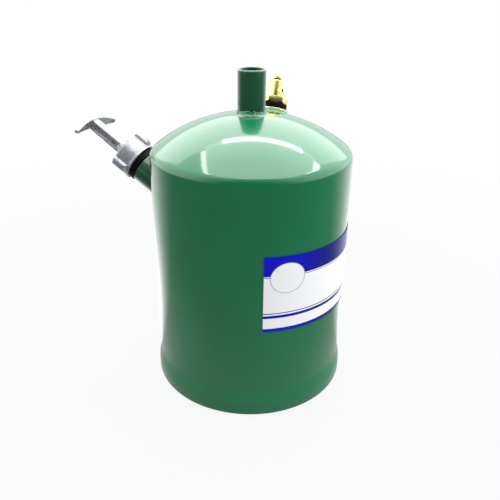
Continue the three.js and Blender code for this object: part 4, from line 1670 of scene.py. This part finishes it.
    def handle(self) -> bpy.types.Object:
        """The cast handle: round foot, fluted stem, crescent bar and knobs."""
        low = self.handle_low()
        foot_high = low + self.foot_thickness
        handle = turned("pump_handle_cast", [
            (0, low), (self.foot_radius, low), (self.foot_radius, foot_high),
            (self.flare_radius, foot_high + self.flare_height), (0, foot_high + self.flare_height)])
        combine(handle, self.stem(), Cut.ADD)
        combine(handle, self.bar(), Cut.ADD)
        for side in (-1, 1):
            rest()
            place = (0, side * self.bar_half_span * MM,
                     (self.bar_line(self.bar_half_span) + self.bar_tip_thickness / 2) * MM)
            bpy.ops.mesh.primitive_uv_sphere_add(segments=self.knob_steps[0], ring_count=self.knob_steps[1],
                                                 radius=self.knob_radius * MM)
            knob = named("handle_knob")
            knob.data.transform(Matrix.Translation(place))
            combine(handle, knob, Cut.ADD)
            combine(handle, self.flute(side), Cut.REMOVE)
        hole = rod("pin_hole", self.pin_radius + self.gap, -self.stem_base[1], self.stem_base[1],
                   self.pin_hole_steps)
        hole.data.transform(self.pin_place())
        combine(handle, hole, Cut.REMOVE)
        handle.data.transform(self.handle_spin())
        self.soften(handle)
        return handle

    def stem(self) -> bpy.types.Object:
        """The stem: a rounded bar that narrows towards the cross bar."""
        low, high = self.handle_low() + self.foot_thickness / 2, self.bar_middle()
        stem = block("handle_stem", (0, 0, (low + high) / 2), (*self.stem_base, high - low))
        shrink = (self.stem_top[0] / self.stem_base[0], self.stem_top[1] / self.stem_base[1], 1.0)
        with picking(stem, "FACE", lambda co: co.z > (high - NEAR) * MM):
            bpy.ops.transform.resize(value=shrink)
        apply_modifier(stem, "BEVEL", width=self.stem_corner * MM, segments=self.stem_steps)
        return stem

    def flute(self, side: int) -> bpy.types.Object:
        """The round-ended recess in a side of the stem.

        Args:
            side: 1 for the side towards +Y, and -1 for the other.

        Returns:
            The tool that cuts it.
        """
        radius = self.flute_width / 2
        low = self.handle_low() + self.flute_start + radius
        depth = self.stem_base[1]
        rest()
        bpy.ops.mesh.primitive_cylinder_add(vertices=SMALL_ROUND_STEPS, radius=radius * MM,
                                            depth=depth * MM)
        flute = named("stem_flute")
        flute.data.transform(Matrix.Rotation(math.pi / 2, 4, "X"))
        with picking(flute, "VERT", lambda co: co.z > 0):
            bpy.ops.transform.translate(value=(0, 0, (self.flute_length - 2 * radius) * MM))
        middle = side * (self.flute_web / 2 + depth / 2)
        flute.data.transform(Matrix.Translation((0, middle * MM, low * MM)))
        return flute

    def bar_middle(self) -> float:
        """Height of the bar's middle line on the axis."""
        return self.handle_low() + self.stem_length + self.bar_thickness / 4

    def bar_line(self, along: float) -> float:
        """Height of the bar's middle line at a place along its span."""
        return self.bar_middle() - self.bar_droop * (along / self.bar_half_span) ** 2

    def bar_taper(self, middle: float, tip: float, along: float) -> float:
        """A size of the bar at a place along its span, from the middle's to the tip's."""
        share = (along / self.bar_half_span) ** 2
        return middle + (tip - middle) * share

    def bar(self) -> bpy.types.Object:
        """The crescent cross bar: a leaf in plan, drooping to its tips, hollow under each arm."""
        bar = lattice("handle_bar", self.bar_cuts)
        for vertex in bar.data.vertices:
            vertex.co = self.bar_point(*vertex.co)
        mend(bar)
        for side in (-1, 1):
            combine(bar, self.bar_hollow_tool(side), Cut.REMOVE)
        return bar

    def bar_point(self, across: float, along: float, up: float, inset: float = 0.0) -> Vector:
        """Move a point of a cube to the bar.

        Args:
            across: The cube's X, from -1 to 1.
            along: The cube's Y.
            up: The cube's Z.
            inset: How far the bar's sides move in.

        Returns:
            The point in metres.
        """
        place = along * self.bar_half_span
        side = self.bar_taper(self.bar_half_width, self.bar_tip_half_width, place) - inset
        left = (1 - abs(along)) * self.bar_half_span / side
        width = side * math.sqrt(max(0.0, 1 - (1 - left) ** 2)) if left < 1 else side
        thick = self.bar_taper(self.bar_thickness, self.bar_tip_thickness, place) / 2
        crown = 1 - self.bar_crown * across ** 2 if up > 0 else 1.0
        return Vector((across * width, place, self.bar_line(place) + up * thick * crown)) * MM

    def bar_hollow_tool(self, side: int) -> bpy.types.Object:
        """The tool that hollows one arm from below.

        Args:
            side: 1 for the arm towards +Y, and -1 for the other.

        Returns:
            The tool.
        """
        tool = lattice("arm_hollow", self.hollow_cuts)
        start = (self.stem_top[1] / 2 + self.bar_wall) / self.bar_half_span
        end = 1 - self.bar_tip_walls * self.bar_wall / self.bar_half_span
        for vertex in tool.data.vertices:
            along = start + (end - start) * (vertex.co.y + 1) / 2
            point = self.bar_point(vertex.co.x, side * along, -1.0, self.bar_wall)
            lift = self.bar_hollow if vertex.co.z > 0 else -self.bar_thickness
            vertex.co = point + Vector((0, 0, lift * abs(vertex.co.z) * MM))
        mend(tool)
        return tool


def main() -> None:
    """Build the camera and room, then each sub-assembly in order."""
    logging.basicConfig(level=logging.INFO, format="%(name)s: %(message)s")
    Studio().build()
    tank = Tank()
    tank.build()
    Label(tank).build()
    FillerCap().build(tank)
    HandPump().build(tank)
    boxes = {"cad": cad_bounds, "visual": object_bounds()}
    for name, box in boxes.items():
        log.info("%s box %s", name, [tuple(round(v, 5) for v in corner) for corner in box])


if __name__ == "__main__":
    main()
